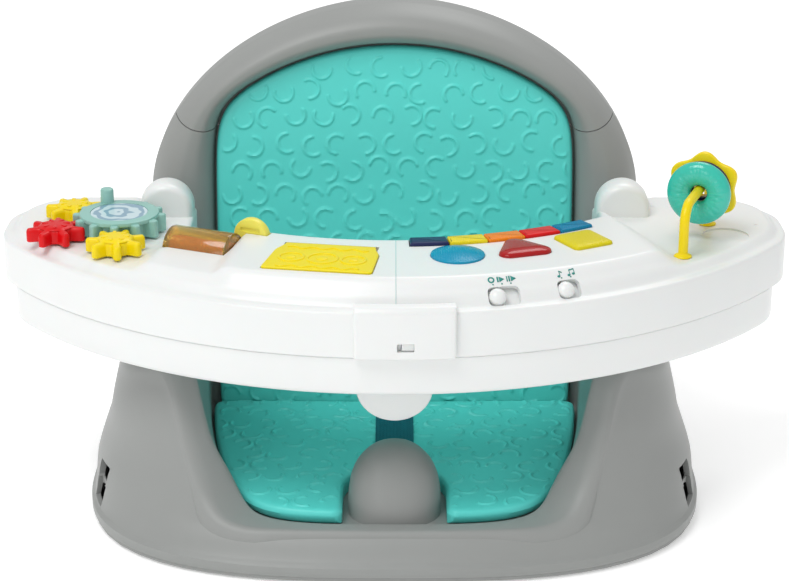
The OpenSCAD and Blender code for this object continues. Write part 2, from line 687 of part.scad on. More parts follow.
roller_xy = [-137.8, -45.2];
roller_turn = -24;
roller_z = deck_z + 0.5;
flap_p = -9.9;
flap_in = child_r + 20;
flap_d = 56;
flap_wr = 64;
flap_wf = 78;
flap_axis_r = flap_in + 3;
flap_z = bar_z - 0.2;
wheel_p = -24.6;
wheel_dist = child_r + 8.5;
wheel_w = 7;
wheel_z = bar_z - 3;
module flap_2d(g) {
    edge = [[flap_wr / 2, 3], [flap_wr / 2 + 1, -4], [flap_wf / 2 - 2, -14], [flap_wf / 2, 3 - flap_d]];
    offset(delta = g) polygon(concat([for (i = [3:-1:0]) [-edge[i][0], edge[i][1]]], edge));
}
module left_holes() {
    on_roller() cylinder(r = roller_r + 0.8, h = roller_l + 1.6, center = true, $fn = 36);
    on_tray(flap_p, flap_axis_r, bar_z - 1.4) linear_extrude(10) flap_2d(0.6);
    on_tray(flap_p, flap_axis_r, flap_pin_z) rotate([0, 90, 0]) cylinder(r = 5.5, h = flap_wr + 4, center = true, $fn = 20);
    on_tray(wheel_p, wheel_dist, wheel_z) rotate([90, 0, 0]) cylinder(r = wheel_r + 0.8, h = wheel_w + 1.4, center = true, $fn = 40);
    for (g = gear_sites) translate([g[0], g[1], deck_z - 10]) cylinder(d = spindle_d + 2 * gap, h = 20, $fn = 24);
}

// Wells under the roller and the wheel and lugs under the skin, which hold the axles and the flap's pin.
module axle_seats() {
    intersection() {
        mirror([1, 0, 0]) toy_half(-seam_x + gap / 2, true, 1);
        union() {
            on_roller() cylinder(r = roller_r + 3.2, h = roller_l + 9.6, center = true, $fn = 36);
            on_wheel() cylinder(r = wheel_r + 3, h = wheel_w + 9.4, center = true, $fn = 40);
        }
    }
    on_flap() for (s = [-1, 1]) translate([s * (flap_wr / 2 + 3.2), 0, flap_pin_z - 1]) cube([4, 6, 5], center = true);
}
module axle_bores() {
    on_roller() cylinder(d = axle_d + 2 * run, h = roller_l + 8, center = true, $fn = 24);
    on_flap() translate([0, 0, flap_pin_z]) rotate([0, 90, 0])
        cylinder(d = flap_pin_d + 2 * run, h = flap_wr + 8.6, center = true, $fn = 24);
    on_wheel() cylinder(d = 3 + 2 * run, h = wheel_w + 7, center = true, $fn = 24);
}

module toy_tray_left() {
    color(white) moulded() difference() {
        union() {
            difference() {
                union() {
                    mirror([1, 0, 0]) toy_half(-seam_x + gap / 2, true, 0);
                    mirror([1, 0, 0]) ear(0);
                    clip_plate();
                }
                mirror([1, 0, 0]) toy_half(-seam_x + gap / 2, true, tray_t);
                mirror([1, 0, 0]) ear(tray_t);
            }
            axle_seats();
        }
        left_holes();
        axle_bores();
    }
}

// Feeding tray: a shallow dish under the activity tray.
feed_r = tray_r - 1;
function feed_section(o, q, pts) = let(l = norm(o - q)) [for (p = pts)
    let(d = p[0] >= 0 ? p[0] : l + p[0], m = mix(o, q, d / l)) [m[0], m[1], feed_z + p[1]]];
// A negative distance counts from the inner edge, with -0.001 for the edge itself.
feed_out = [[3.5, 0], [1, 1], [0, 3.5], [0, feed_h], [-0.001, feed_h], [-0.001, 3], [-3, 0]];
feed_top = [[7, 8], [5.5, feed_h + 1], [-5.5, feed_h + 1], [-7, 8]];
feed_low = [[8, -1], [8, 5], [-7, 5], [-7, -1]];
module feed_half(pts, g) {
    pairs = tray_pairs(feed_r, tray_hw - feed_inset, 50, 33, 8, 0, 0);
    n = len(pairs) - 1;
    full = concat([for (i = [n:-1:0]) [[-pairs[i][0][0], pairs[i][0][1]], [-pairs[i][1][0], pairs[i][1][1]]]],
        [for (i = [1:n]) pairs[i]]);
    last = len(full) - 1;
    loft([for (i = [0:last]) let(o = full[i][0], q = full[i][1], back = i == 0 || i == last ? g : 0)
        feed_section([o[0], o[1] - back], [q[0], q[1] - back], pts)]);
}

paddle_y = -115;
paddle_z = feed_z + 1.5;
paddle_w = 42;
pin_d = 3;
module feeding_tray() {
    lug_t = 4;
    color(white) moulded() {
        difference() {
            feed_half(feed_out, 0);
            feed_half(feed_top, 6);
            feed_half(feed_low, 6);
        }
        for (s = [-1, 1]) translate([s * (paddle_w / 2 + gap + lug_t / 2), paddle_y, 0]) rotate([0, 90, 0])
            difference() {
                hull() {
                    translate([-paddle_z, 0]) cylinder(r = 4, h = lug_t, center = true, $fn = 24);
                    translate([-feed_z - 6, 0, 0]) cube([2, 12, lug_t], center = true);
                }
                translate([-paddle_z, 0]) cylinder(d = pin_d + 0.2, h = 2 * lug_t, center = true, $fn = 24);
            }
    }
}

// Release paddle: half-round tongue that hangs under the front of the feeding tray.
paddle_r = 27;
module release_paddle() {
    t = 5;
    eye = 6.4;
    color(white) difference() {
        union() {
            translate([0, paddle_y + t / 2, 0]) rotate([90, 0, 0]) linear_extrude(t) union() {
                intersection() {
                    translate([0, feed_z - 8.5]) circle(r = paddle_r);
                    translate([0, feed_z - 8.5 - 25 - 2]) square([60, 50], center = true);
                }
                translate([-paddle_r, feed_z - 8.5 - 10.01]) square([2 * paddle_r, 8]);
                translate([-paddle_w / 2, feed_z - 11]) square([paddle_w, 11]);
            }
            translate([-paddle_w / 2, paddle_y, paddle_z]) rotate([0, 90, 0]) cylinder(d = eye, h = paddle_w);
        }
        translate([-paddle_w / 2 - 1, paddle_y, paddle_z]) rotate([0, 90, 0])
            cylinder(d = pin_d + 2 * run, h = paddle_w + 2);
    }
}

module paddle_pin() {
    l = paddle_w + 2 * gap + 8;
    color(steel) translate([-l / 2, paddle_y, paddle_z]) rotate([0, 90, 0]) cylinder(d = pin_d, h = l);
}

// ---- Housing of the electronics -----------------------------------------

cover_z = skirt_z + 0.6;
cover_t = 2.4;
cover_p0 = 1.6;
cover_p1 = 37;
cover_in = child_r + tray_t + gap + 0.2;
cover_out = tray_r - tray_t - gap - 0.2;
board_z = 188;
board_t = 1.6;
post_at = [[5, child_r + 12], [5, tray_r - 33], [34, child_r + 12], [34, tray_r - 39], [20, tray_r - 33]];
screw_at = [[3.2, tray_r - 14], [17.6, tray_r - 10], [33, tray_r - 12]];
batt_d = 14.2;
batt_l = 50;
batt_p = 11.5;
batt_rs = [child_r + 24, child_r + 40, child_r + 56];
batt_z = cover_z + cover_t + batt_d / 2 + gap;
door_w = 62;
door_h = 50;
speaker_p = 29;
speaker_r = tray_r - 55;

module bottom_cover() {
    color(white) difference() {
        union() {
            arc_block(cover_p0, cover_p1, cover_in, cover_out, cover_z, cover_z + cover_t);
            for (a = post_at) on_tray(a[0], a[1], cover_z + 1) cylinder(d = 6, h = board_z - gap - cover_z - 1);
            for (s = [-1, 1]) on_tray(batt_p, batt_rs[1], cover_z + 1)
                translate([s * (batt_l / 2 + 3.2) - 1, -26, 0]) cube([2, 52, 12]);
            on_tray(speaker_p, speaker_r, cover_z + 1) difference() {
                cylinder(d = 47, h = 6);
                translate([0, 0, -1]) cylinder(d = 43.6, h = 8);
            }
        }
        on_tray(batt_p, batt_rs[1], cover_z - 1) translate([-door_w / 2 + 6, -door_h / 2 + 2, 0]) cube([door_w - 12, door_h - 4, 10]);
        on_tray(batt_p, batt_rs[1], cover_z - 1) translate([-door_w / 2, -door_h / 2, 0]) cube([door_w, door_h, 2.2]);
        for (a = screw_at) on_tray(a[0], a[1], cover_z - 1) cylinder(d = 3.4, h = 10);
        for (r = [0, 6, 12], a = [0:60:359]) if (r > 0 || a == 0) on_tray(speaker_p, speaker_r, cover_z - 1)
            rotate([0, 0, a]) translate([r, 0, 0]) cylinder(d = 3, h = 10);
    }
}

// Screws up into bosses of the right half.
module cover_screws() {
    color(steel) for (a = screw_at) on_tray(a[0], a[1], 0) {
        translate([0, 0, cover_z - 0.3 + 0.1]) mirror([0, 0, 1]) cylinder(d = 5.6, h = 0.4);
        translate([0, 0, cover_z - 0.2]) cylinder(d = 3, h = 11);
    }
}

module battery_door() {
    color(white) on_tray(batt_p, batt_rs[1], cover_z - 0.2)
        translate([-door_w / 2 + gap, -door_h / 2 + gap, 0]) cube([door_w - 2 * gap, door_h - 2 * gap, 1.2]);
}

module batteries() {
    color([0.2, 0.25, 0.3]) for (r = batt_rs) on_tray(batt_p, batt_rs[1], batt_z) translate([0, batt_rs[1] - r, 0])
        rotate([0, 90, 0]) {
            translate([0, 0, -batt_l / 2]) cylinder(d = batt_d, h = batt_l - 1);
            translate([0, 0, batt_l / 2 - 1]) cylinder(d = 5, h = 1);
        }
}

module battery_contacts() {
    color(steel) for (s = [-1, 1], r = batt_rs) on_tray(batt_p, batt_rs[1], batt_z)
        translate([s * (batt_l / 2 + 1.2) - 0.4, batt_rs[1] - r - 5, -6]) cube([0.8, 10, 12]);
}

module speaker() {
    color(black) on_tray(speaker_p, speaker_r, cover_z + cover_t + 0.1) {
        cylinder(d = 43, h = 2.5);
        translate([0, 0, 2.5]) cylinder(d1 = 40, d2 = 24, h = 7);
        translate([0, 0, 9.5]) cylinder(d = 24, h = 6);
    }
}

module circuit_board() {
    color([0.05, 0.35, 0.2]) arc_block(3, 35.5, child_r + 8, tray_r - 28, board_z, board_z + board_t);
}

key_radius = (key_in + key_out) / 2;
membrane_t = 1;
dome_h = 3.2;
module key_membrane() {
    z = board_z + board_t + 0.1;
    color([0.75, 0.75, 0.72]) {
        arc_block(3.4, 35, child_r + 9, tray_r - 45, z, z + membrane_t);
        for (i = [0:keys_n - 1]) on_tray(key_p0 + i * key_pitch, key_radius + 5, z + membrane_t - 0.2) cylinder(d1 = 9, d2 = 6, h = dome_h);
        for (p = [round_p, triangle_p, square_p]) on_tray(p, button_r + 2, z + membrane_t - 0.2) cylinder(d1 = 12, d2 = 8, h = dome_h);
    }
}

// Key k of the row: a cap on a stem that comes down over its dome.
key_cap = 2.4;
dome_top = board_z + board_t + 0.1 + membrane_t - 0.2 + dome_h;
module key(k) {
    wi = (key_in + 1) * tan(key_pitch / 2) - 0.3;
    wo = (key_out - 1) * tan(key_pitch / 2) - 0.3;
    hi = key_radius - key_in - gap - 0.05;
    ho = sqrt(pow(key_out - gap - 0.05, 2) - wo * wo) - key_radius;
    stem = bar_z - dome_top - key_travel - gap;
    on_tray(key_p0 + k * key_pitch, key_radius, bar_z) {
        translate([0, 0, -3.8]) linear_extrude(3.8 + key_cap - 1) polygon([[-wi, hi], [wi, hi], [wo, -ho], [-wo, -ho]]);
        translate([0, 0, key_cap - 1.01]) hull() {
            linear_extrude(0.1) polygon([[-wi, hi], [wi, hi], [wo, -ho], [-wo, -ho]]);
            translate([0, 0, 1]) linear_extrude(0.1) polygon([[-wi + 1.4, hi - 1.4], [wi - 1.4, hi - 1.4],
                [wo - 1.4, 1.4 - ho], [1.4 - wo, 1.4 - ho]]);
        }
        translate([-4, -7.2, -stem]) cube([8, 6, stem - 3]);
    }
}
module key_navy() { color(navy) key(0); }
module key_yellow() { color(yellow) key(1); }
module key_orange() { color(orange) key(2); }
module key_red() { color(red) key(3); }
module key_blue() { color(blue) key(4); }

// Button: outline, rounded cap above the bar and a flange below its skin.
module button(p) {
    cap = 3.2;
    under = bar_z - tray_t - gap;
    on_tray(p, button_r, 0) {
        translate([0, 0, under - 0.2]) linear_extrude(bar_z + cap - 2 - under + 0.2) children(0);
        translate([0, 0, bar_z + cap - 2.01]) children(2);
        translate([0, 0, under - 1.6]) linear_extrude(1.6) children(1);
        translate([0, -2, dome_top + button_travel + gap]) cylinder(d = 8, h = under - 1 - dome_top - button_travel - gap, $fn = 20);
    }
}
module button_round() {
    color(blue) moulded() button(round_p) {
        round_2d(0);
        round_2d(1.6);
        rotate_extrude($fn = 56) intersection() {
            translate([0, -60]) circle(r = 62.8, $fn = 90);
            square([round_d / 2, 4]);
        }
    }
}
module button_triangle() {
    color(red) moulded() button(triangle_p) {
        triangle_2d(0);
        triangle_2d(1.2);
        hull() {
            translate([0, 0, -1]) linear_extrude(1.1) triangle_2d(0);
            translate([0, 0, 1.4]) linear_extrude(0.1) triangle_2d(-2);
            translate([0, 0, 2.6]) linear_extrude(0.1) triangle_2d(-6);
        }
    }
}
module button_square() {
    color(yellow) moulded() button(square_p) {
        square_2d(0);
        square_2d(1.6);
        hull() {
            translate([0, 0, -1]) linear_extrude(1.1) square_2d(0);
            translate([0, 0, 1.2]) linear_extrude(0.1) square_2d(-1.6);
            translate([0, 0, 2]) linear_extrude(0.1) square_2d(-3.8);
        }
    }
}

// Slide switches: a plate under the slope's skin, a domed knob in the window.
slope_skin = tray_t * (sin(slope_tilt) + cos(slope_tilt));
power_travel = power_l - knob_d - 1.6;
melody_travel = melody_l - knob_d - 0.6;
module knob(p, l, travel) {
    plate_z = -slope_skin - gap - 2;
    x = -travel / 2;
    on_slope(p) {
        translate([x - (l + travel + 3) / 2, -window_w / 2 - 1, plate_z]) cube([l + travel + 3, window_w + 2, 1.4]);
        translate([x, 0, plate_z + 1]) cylinder(d = knob_d, h = -plate_z - 1);
        translate([x, 0, -0.01]) rotate_extrude() intersection() {
            translate([0, -4]) circle(r = 7.2, $fn = 64);
            square([knob_d / 2, 5]);
        }
        translate([x, 0, plate_z - 2]) cylinder(d = 4, h = 2.2);
    }
}
module power_knob() { color(white) knob(power_p, power_l, power_travel); }
module melody_knob() { color(white) knob(melody_p, melody_l, melody_travel); }

// Bodies of the two slide switches on the outer edge of the board.
module slide_switches() {
    color(black) for (p = [power_p, melody_p]) on_tray(p, tray_r - 33, board_z + board_t + 0.1) translate([-7, -3, 0]) cube([14, 6, 5]);
}

// Tongue of the right half that shows in the window of the clip plate.
module join_latch() {
    y0 = tray_cy - tray_r;
    color(white) {
        translate([latch_x0, y0 - 2.8, latch_z - 2.3]) cube([8.5, 7, 4.6]);
        translate([latch_x0, y0 + tray_t + 0.8, latch_z - 4]) cube([11, 1.6, 8]);
    }
}

// ---- Gears ---------------------------------------------------------------

large_xy = [-203, -1];
small_dist = gear_m * (teeth_large + teeth_small) / 2 + 0.3;
red_a = 205;
rear_a = 141;
front_a = 273.7;
large_turn = 0;
function site(a) = large_xy + small_dist * [cos(a), sin(a)];
gear_sites = [large_xy, site(red_a), site(rear_a), site(front_a)];
gear_z = deck_z + 1.5;

// Outline of a gear with n rounded, slightly thin teeth.
tip = 0.78;
root = 0.95;
module gear_2d(n) {
    r = gear_m * n / 2;
    w = 360 / n;
    polygon([for (i = [0:n - 1], q = [[-0.335, -root], [-0.215, -0.25], [-0.165, 0.35], [-0.105, 0.7], [-0.04, tip],
            [0.04, tip], [0.105, 0.7], [0.165, 0.35], [0.215, -0.25], [0.335, -root]])
        (r + gear_m * q[1]) * [cos(w * (i + q[0])), sin(w * (i + q[0]))]]);
}
// Turn of a small gear at angle a so that its gap meets the large gear's tooth.
function mesh_turn(a) = a + 180 + 180 / teeth_small + (a - large_turn) * teeth_large / teeth_small;

peg_at = 26.6;
peg_a = 116;
module gear_large() {
    r = gear_m * teeth_large / 2;
    color(teal) translate([large_xy[0], large_xy[1], gear_z]) difference() {
        union() {
            rotate([0, 0, large_turn]) linear_extrude(large_h - 2) gear_2d(teeth_large);
            translate([0, 0, large_h - 4]) cylinder(r = r - 1, h = 3.4);
            rotate([0, 0, peg_a]) translate([peg_at, 0, large_h - 3.5]) cylinder(d = 10, h = 13.5);
        }
        translate([0, 0, -1]) cylinder(d = spindle_d + 2 * run, h = large_h - 3);
        translate([0, 0, large_h - 1.4]) cylinder(d = 42 + 2 * gap, h = 5);
    }
}
module gear_label() {
    color([0.62, 0.80, 0.84]) translate([large_xy[0], large_xy[1], gear_z + large_h - 1.4]) cylinder(d = 42, h = 0.6);
}

module small_gear(a) {
    c = site(a);
    rim = gear_m * (teeth_small / 2 - root) - 0.1;
    translate([c[0], c[1], gear_z]) difference() {
        union() {
            rotate([0, 0, mesh_turn(a)]) linear_extrude(small_h - 2.5) gear_2d(teeth_small);
            cylinder(r1 = rim, r2 = rim - 2, h = small_h);
        }
        translate([0, 0, -1]) cylinder(d = spindle_d + 2 * run, h = small_h - 2);
    }
}
module gear_red() { color(red) small_gear(red_a); }
module gear_yellow_front() { color(yellow) small_gear(front_a); }
module gear_yellow_rear() { color(yellow) small_gear(rear_a); }

module gear_spindles() {
    color(steel) for (i = [0:3]) translate([gear_sites[i][0], gear_sites[i][1], 0]) {
        translate([0, 0, deck_z - 7]) cylinder(d = spindle_d, h = (i == 0 ? large_h - 5 : small_h - 4) + 8.5);
        translate([0, 0, deck_z + 0.1]) cylinder(d = 12, h = gear_z - deck_z - 0.1 - gap);
        translate([0, 0, deck_z - tray_t - 1.7]) cylinder(d = 11, h = 1.5);
    }
}

// ---- Roller, flap and click wheel ---------------------------------------

axle_d = 4;
module on_roller() {
    translate([roller_xy[0], roller_xy[1], roller_z]) rotate([0, 0, roller_turn]) rotate([0, 90, 0]) children();
}
module roller_shell() {
    l = roller_l;
    color([0.86, 0.62, 0.10]) on_roller() difference() {
        translate([0, 0, -l / 2]) cylinder(r = roller_r, h = l);
        translate([0, 0, -l / 2 + 2]) cylinder(r = roller_r - 2, h = l - 4);
        translate([0, 0, -l / 2 - 1]) cylinder(d = axle_d + 2 * run, h = l + 2);
    }
}
module roller_core() {
    l = roller_l - 4 - 2 * gap;
    color([0.85, 0.3, 0.15]) on_roller() difference() {
        translate([0, 0, -l / 2]) cylinder(r = 9, h = l);
        translate([0, 0, -l / 2 - 1]) cylinder(d = axle_d + 2 * run, h = l + 2);
    }
}
module roller_axle() {
    l = roller_l + 1.6 + 6;
    color(steel) on_roller() translate([0, 0, -l / 2]) cylinder(d = axle_d, h = l);
}

flap_pin_d = 1.8;
flap_pin_z = bar_z - 2.6;
module on_flap() {
    on_tray(flap_p, flap_axis_r, 0) children();
}
module flap_page() {
    color(yellow) on_flap() difference() {
        union() {
            translate([0, 0, flap_z - 0.9]) linear_extrude(flap_t) difference() {
                flap_2d(0);
                translate([-flap_wr, 1.1]) square([2 * flap_wr, 10]);
            }
            translate([-flap_wr / 2, 0, flap_pin_z]) rotate([0, 90, 0]) cylinder(r = 2, h = flap_wr);
            translate([0, 0, flap_z - 0.9 + flap_t - 0.1]) flap_relief();
        }
        translate([-flap_wr, 0, flap_pin_z]) rotate([0, 90, 0]) cylinder(d = flap_pin_d + 2 * run, h = 2 * flap_wr);
    }
}
// Raised rings on the flap.
module flap_relief() {
    for (x = [-23, 0, 23]) translate([x, -26, 0]) difference() {
        cylinder(r = 10, h = 0.8);
        translate([0, 0, -1]) cylinder(r = 7, h = 3);
    }
}
module flap_pin() {
    l = flap_wr + 8;
    color(steel) on_flap() translate([-l / 2, 0, flap_pin_z]) rotate([0, 90, 0]) cylinder(d = flap_pin_d, h = l);
}

module on_wheel() {
    on_tray(wheel_p, wheel_dist, wheel_z) rotate([90, 0, 0]) children();
}
module click_wheel() {
    color(yellow) on_wheel() difference() {
        union() {
            translate([0, 0, -wheel_w / 2 + 1]) cylinder(r = wheel_r, h = wheel_w - 2);
            translate([0, 0, -wheel_w / 2]) cylinder(r1 = wheel_r - 1, r2 = wheel_r, h = 1);
            translate([0, 0, wheel_w / 2 - 1]) cylinder(r1 = wheel_r, r2 = wheel_r - 1, h = 1);
        }
        for (s = [-1, 1]) translate([0, s * 5.4, wheel_w / 2 - 1.2]) linear_extrude(3) square([16, 3.4], center = true);
        translate([0, 0, -wheel_w]) cylinder(d = 3 + 2 * run, h = 2 * wheel_w);
    }
}
module wheel_axle() {
    l = wheel_w + 1.4 + 5.4;
    color(steel) on_wheel() translate([0, 0, -l / 2]) cylinder(d = 3, h = l);
}

// ---- Ring bar ------------------------------------------------------------

bar_span = norm(bar_foot_b - bar_foot_a);
bar_turn = atan2(bar_foot_b[1] - bar_foot_a[1], bar_foot_b[0] - bar_foot_a[0]);
bend_r = 14;
module on_bar() {
    translate([bar_foot_a[0], bar_foot_a[1], 0]) rotate([0, 0, bar_turn]) children();
}
module ring_bar() {
    foot = deck_z - 6;
    color(yellow) on_bar() {
        for (x = [0, bar_span]) translate([x, 0, foot]) {
            cylinder(d = bar_d, h = bar_top - bend_r - foot);
            translate([0, 0, deck_z - foot + 0.1]) cylinder(d = foot_d, h = 1.6);
        }
        translate([bend_r, 0, bar_top]) rotate([0, 90, 0]) cylinder(d = bar_d, h = bar_span - 2 * bend_r);
        translate([bend_r, 0, bar_top - bend_r]) rotate([90, 0, 0]) rotate([0, 0, 90]) rotate_extrude(angle = 90)
            translate([bend_r, 0]) circle(d = bar_d);
        translate([bar_span - bend_r, 0, bar_top - bend_r]) rotate([90, 0, 0]) rotate_extrude(angle = 90)
            translate([bend_r, 0]) circle(d = bar_d);
    }
}

hole_r = 6;
ring_z = bar_top - (hole_r - bar_d / 2 - gap);
teal_x = 44;
module on_ring(x) {
    on_bar() translate([x, 0, ring_z]) rotate([0, 90, 0]) children();
}
module ring_teal() {
    tube = (ring_d / 2 - hole_r) / 2;
    color([0.24, 0.76, 0.68]) on_ring(teal_x) rotate_extrude() translate([hole_r + tube, 0]) scale([1, 0.72]) circle(r = tube);
}
module ring_navy() {
    color(navy) on_ring(teal_x + 9) difference() {
        cylinder(r = 21, h = 3);
        translate([0, 0, -1]) cylinder(r = hole_r, h = 5);
    }
}
module ring_star() {
    color(yellow) on_ring(teal_x + 12.4) difference() {
        linear_extrude(6) polygon([for (i = [0:59]) (25 + 2 * cos(36 * i)) * [cos(6 * i), sin(6 * i)]]);
        translate([0, 0, -1]) cylinder(r = hole_r, h = 12);
    }
}

seat_body();
backrest_top();
base_plate();
rubber_feet();
base_screws();
arch_screws();
back_pad();
seat_pad();
crotch_strap();
feeding_tray();
release_paddle();
paddle_pin();
toy_tray_left();
toy_tray_right();
bottom_cover();
cover_screws();
join_latch();
gear_large();
gear_label();
gear_red();
gear_yellow_front();
gear_yellow_rear();
gear_spindles();
roller_shell();
roller_core();
roller_axle();
flap_page();
flap_pin();
click_wheel();
wheel_axle();
key_navy();
key_yellow();
key_orange();
key_red();
key_blue();
button_round();
button_triangle();
button_square();
power_knob();
melody_knob();
key_membrane();
circuit_board();
slide_switches();
speaker();
batteries();
battery_contacts();
battery_door();
ring_bar();
ring_teal();
ring_navy();
ring_star();
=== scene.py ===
"""Looks of a baby floor seat: grey moulded seat with foam pads, a white feeding tray and
a white activity tray with gears, roller, flap, keys, buttons, switches and rings.

Forms are given in millimetres in the frame of the CAD model and turned to metres when a mesh is made."""

import math
import random

import bmesh
import bpy
import numpy as np
from mathutils import Matrix, Vector
from mathutils.bvhtree import BVHTree


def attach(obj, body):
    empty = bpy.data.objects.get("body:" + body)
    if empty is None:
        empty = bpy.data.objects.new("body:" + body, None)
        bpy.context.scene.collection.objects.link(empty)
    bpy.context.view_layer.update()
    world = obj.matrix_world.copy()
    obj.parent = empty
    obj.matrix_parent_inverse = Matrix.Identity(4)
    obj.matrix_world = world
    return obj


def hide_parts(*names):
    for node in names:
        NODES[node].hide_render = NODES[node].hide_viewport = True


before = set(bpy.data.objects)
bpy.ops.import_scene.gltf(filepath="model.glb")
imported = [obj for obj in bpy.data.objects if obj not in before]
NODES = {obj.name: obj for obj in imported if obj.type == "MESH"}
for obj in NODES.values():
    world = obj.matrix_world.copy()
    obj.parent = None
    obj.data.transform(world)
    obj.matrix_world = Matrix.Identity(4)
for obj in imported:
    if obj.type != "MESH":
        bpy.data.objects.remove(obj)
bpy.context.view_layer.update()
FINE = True
MM = 0.001
TURN = 2 * math.pi
AROUND = 240 if FINE else 96

# ---- Sizes shared with the CAD model, in millimetres ------------------------------------

BASE_HW, BASE_HD = 229, 172
SHELL_T, FLOOR_Z, LIP_Z, SEAT_HW, RIM_Z = 3.5, 27, 32.5, 139, 4.8
ARCH_HW, ARCH_TOP, ARCH_Z, ARCH_N = 190, 348, 203, 1.9
LEAN, RIM_FRONT, RIM_REAR = 0.13, 25, 22
SEAM_IN, SEAM_OUT = 254, 284
PAD_T, BACK_PAD_TOP, BACK_PAD_R = 12, 316.5, 217
STRAP_W, STRAP_T = 29, 1.8
POMMEL_W, POMMEL_Z, POMMEL_Y = 71, 76, 107
TRAY_R, CHILD_R, TRAY_CY, TRAY_HW, OPEN_HW = 345, 238, 187, 293, 152
FEED_Z, FEED_H, FEED_INSET = 136, 28, 10
DECK_Z, BAR_H, TRAY_T, CLIP_W = 202, 12, 3, 69
TEETH_LARGE, TEETH_SMALL, GEAR_M, LARGE_H, SMALL_H = 12, 7, 5.05, 15, 12
ROLLER_R, ROLLER_L, FLAP_T, WHEEL_R = 16, 50, 2.6, 13.7
ROUND_D, SQUARE_W, KNOB_D = 38, 32, 12
BAR_D, BAR_TOP, RING_D = 7, 239, 47
GAP, RUN, PAD_GAP = 0.3, 0.05, 1.5
BAR_Z = DECK_Z + BAR_H
ARM_Z = FEED_Z - GAP
SKIRT_Z = FEED_Z + FEED_H + GAP
FOOT_TOP = 15


# ---- Small maths --------------------------------------------------------------------------


def smooth(v):
    """Soft step from 0 to 1."""
    u = np.clip(v, 0, 1)
    return u * u * (3 - 2 * u)


def mix(a, b, t):
    return a + (b - a) * t


def flow(x, table):
    """Smooth curve through (place, value) pairs that never swings past them."""
    xs, ys = np.array(table, float).T
    step, slope = np.diff(xs), np.diff(ys) / np.diff(xs)
    m = np.zeros(len(xs))
    m[0], m[-1] = slope[0], slope[-1]
    for k in range(1, len(xs) - 1):
        if slope[k - 1] * slope[k] > 0:
            a, b = 2 * step[k] + step[k - 1], step[k] + 2 * step[k - 1]
            m[k] = (a + b) / (a / slope[k - 1] + b / slope[k])
    x = np.clip(np.asarray(x, float), xs[0], xs[-1])
    i = np.clip(np.searchsorted(xs, x, side="right") - 1, 0, len(step) - 1)
    h = step[i]
    t = (x - xs[i]) / h
    return (
        ys[i] * (1 + 2 * t) * (1 - t) ** 2
        + h * m[i] * t * (1 - t) ** 2
        + ys[i + 1] * t * t * (3 - 2 * t)
        + h * m[i + 1] * t * t * (t - 1)
    )


def oval(f, hw, front, rear, n):
    """Radius of a rounded outline in direction f, 0 to the front and a quarter turn to the side."""
    d = np.where(np.cos(f) > 0, front, rear)
    return (np.abs(np.sin(f) / hw) ** n + np.abs(np.cos(f) / d) ** n) ** (-1 / n)


def soft_min(a, b, k):
    return (a**-k + b**-k) ** (-1 / k)


def unit(a):
    """Direction at angle a in degrees."""
    return np.array([math.cos(math.radians(a)), math.sin(math.radians(a))])


def around(steps):
    """That many directions round a full turn, in radians."""
    return TURN * np.arange(steps) / steps


def circle(r, steps=64):
    a = around(steps)
    return np.stack([r * np.cos(a), r * np.sin(a)], 1)


def rectangle(x, y):
    """Corners of a rectangle from half its sides."""
    return [(-x, -y), (x, -y), (x, y), (-x, y)]


def at_height(outline, z):
    """Flat outline as points at one height."""
    return np.column_stack([outline, np.full(len(outline), z)])


def upright(outline, x):
    """Flat outline as points in the plane at that x."""
    outline = np.asarray(outline, float)
    return np.stack([0 * outline[:, 0] + x, outline[:, 0], outline[:, 1]], 1)


def facing(outline, y):
    """Flat outline as points in the plane at that y."""
    return np.stack([outline[:, 0], 0 * outline[:, 0] + y, outline[:, 1]], 1)


def lengths(vectors):
    return np.linalg.norm(vectors, axis=1)


def unit_rows(vectors):
    return vectors / lengths(vectors)[:, None]


# ---- Meshes -------------------------------------------------------------------------------


def make_mesh(name, points, faces, sharp=34):
    """Object from points in millimetres, outward faces, smooth but for edges over sharp degrees."""
    mesh = bpy.data.meshes.new(name)
    mesh.from_pydata((np.asarray(points, float) * MM).tolist(), [], faces)
    work = bmesh.new()
    work.from_mesh(mesh)
    bmesh.ops.recalc_face_normals(work, faces=work.faces)
    work.to_mesh(mesh)
    work.free()
    piece = bpy.data.objects.new(name, mesh)
    bpy.context.scene.collection.objects.link(piece)
    return shade(piece, sharp)


def shade(piece, sharp=34):
    piece.data.polygons.foreach_set("use_smooth", [True] * len(piece.data.polygons))
    piece.data.set_sharp_from_angle(angle=math.radians(sharp))
    return piece


def skin_faces(rows, n):
    """Quads between closed rows of n points each."""
    j, i = np.meshgrid(np.arange(rows - 1), np.arange(n), indexing="ij")
    a, b = j * n + i, j * n + (i + 1) % n
    return np.stack([a, b, b + n, a + n], -1).reshape(-1, 4).tolist()


def loft(name, rings, sharp=34):
    """Closed skin through rings of as many points each, flat at both ends."""
    rings = np.array(rings, float)
    rows, n = rings.shape[:2]
    ends = [list(range(n))[::-1], list(range((rows - 1) * n, rows * n))]
    return make_mesh(name, rings.reshape(-1, 3), skin_faces(rows, n) + ends, sharp)


def closed_loft(name, rings, sharp=34):
    """Skin through rings of as many points each, the last one joined to the first."""
    rings = np.array(rings, float)
    count, n = rings.shape[:2]
    faces = [[v % (count * n) for v in face] for face in skin_faces(count + 1, n)]
    return make_mesh(name, rings.reshape(-1, 3), faces, sharp)


def hoop(name, section, steps):
    """Solid of revolution about Z from a closed section of (radius, height) points."""
    r, z = np.array(section, float).T
    return closed_loft(name, [np.stack([r * math.cos(t), r * math.sin(t), z], 1) for t in around(steps)])


def turned(name, profile, steps=72, sharp=34):
    """Solid turned about Z from (radius, height) points that start and end near the axis."""
    return loft(name, [at_height(circle(r, steps), z) for r, z in profile], sharp)


def prism(name, outline, low, high):
    return loft(name, [at_height(np.array(outline, float), z) for z in (low, high)])


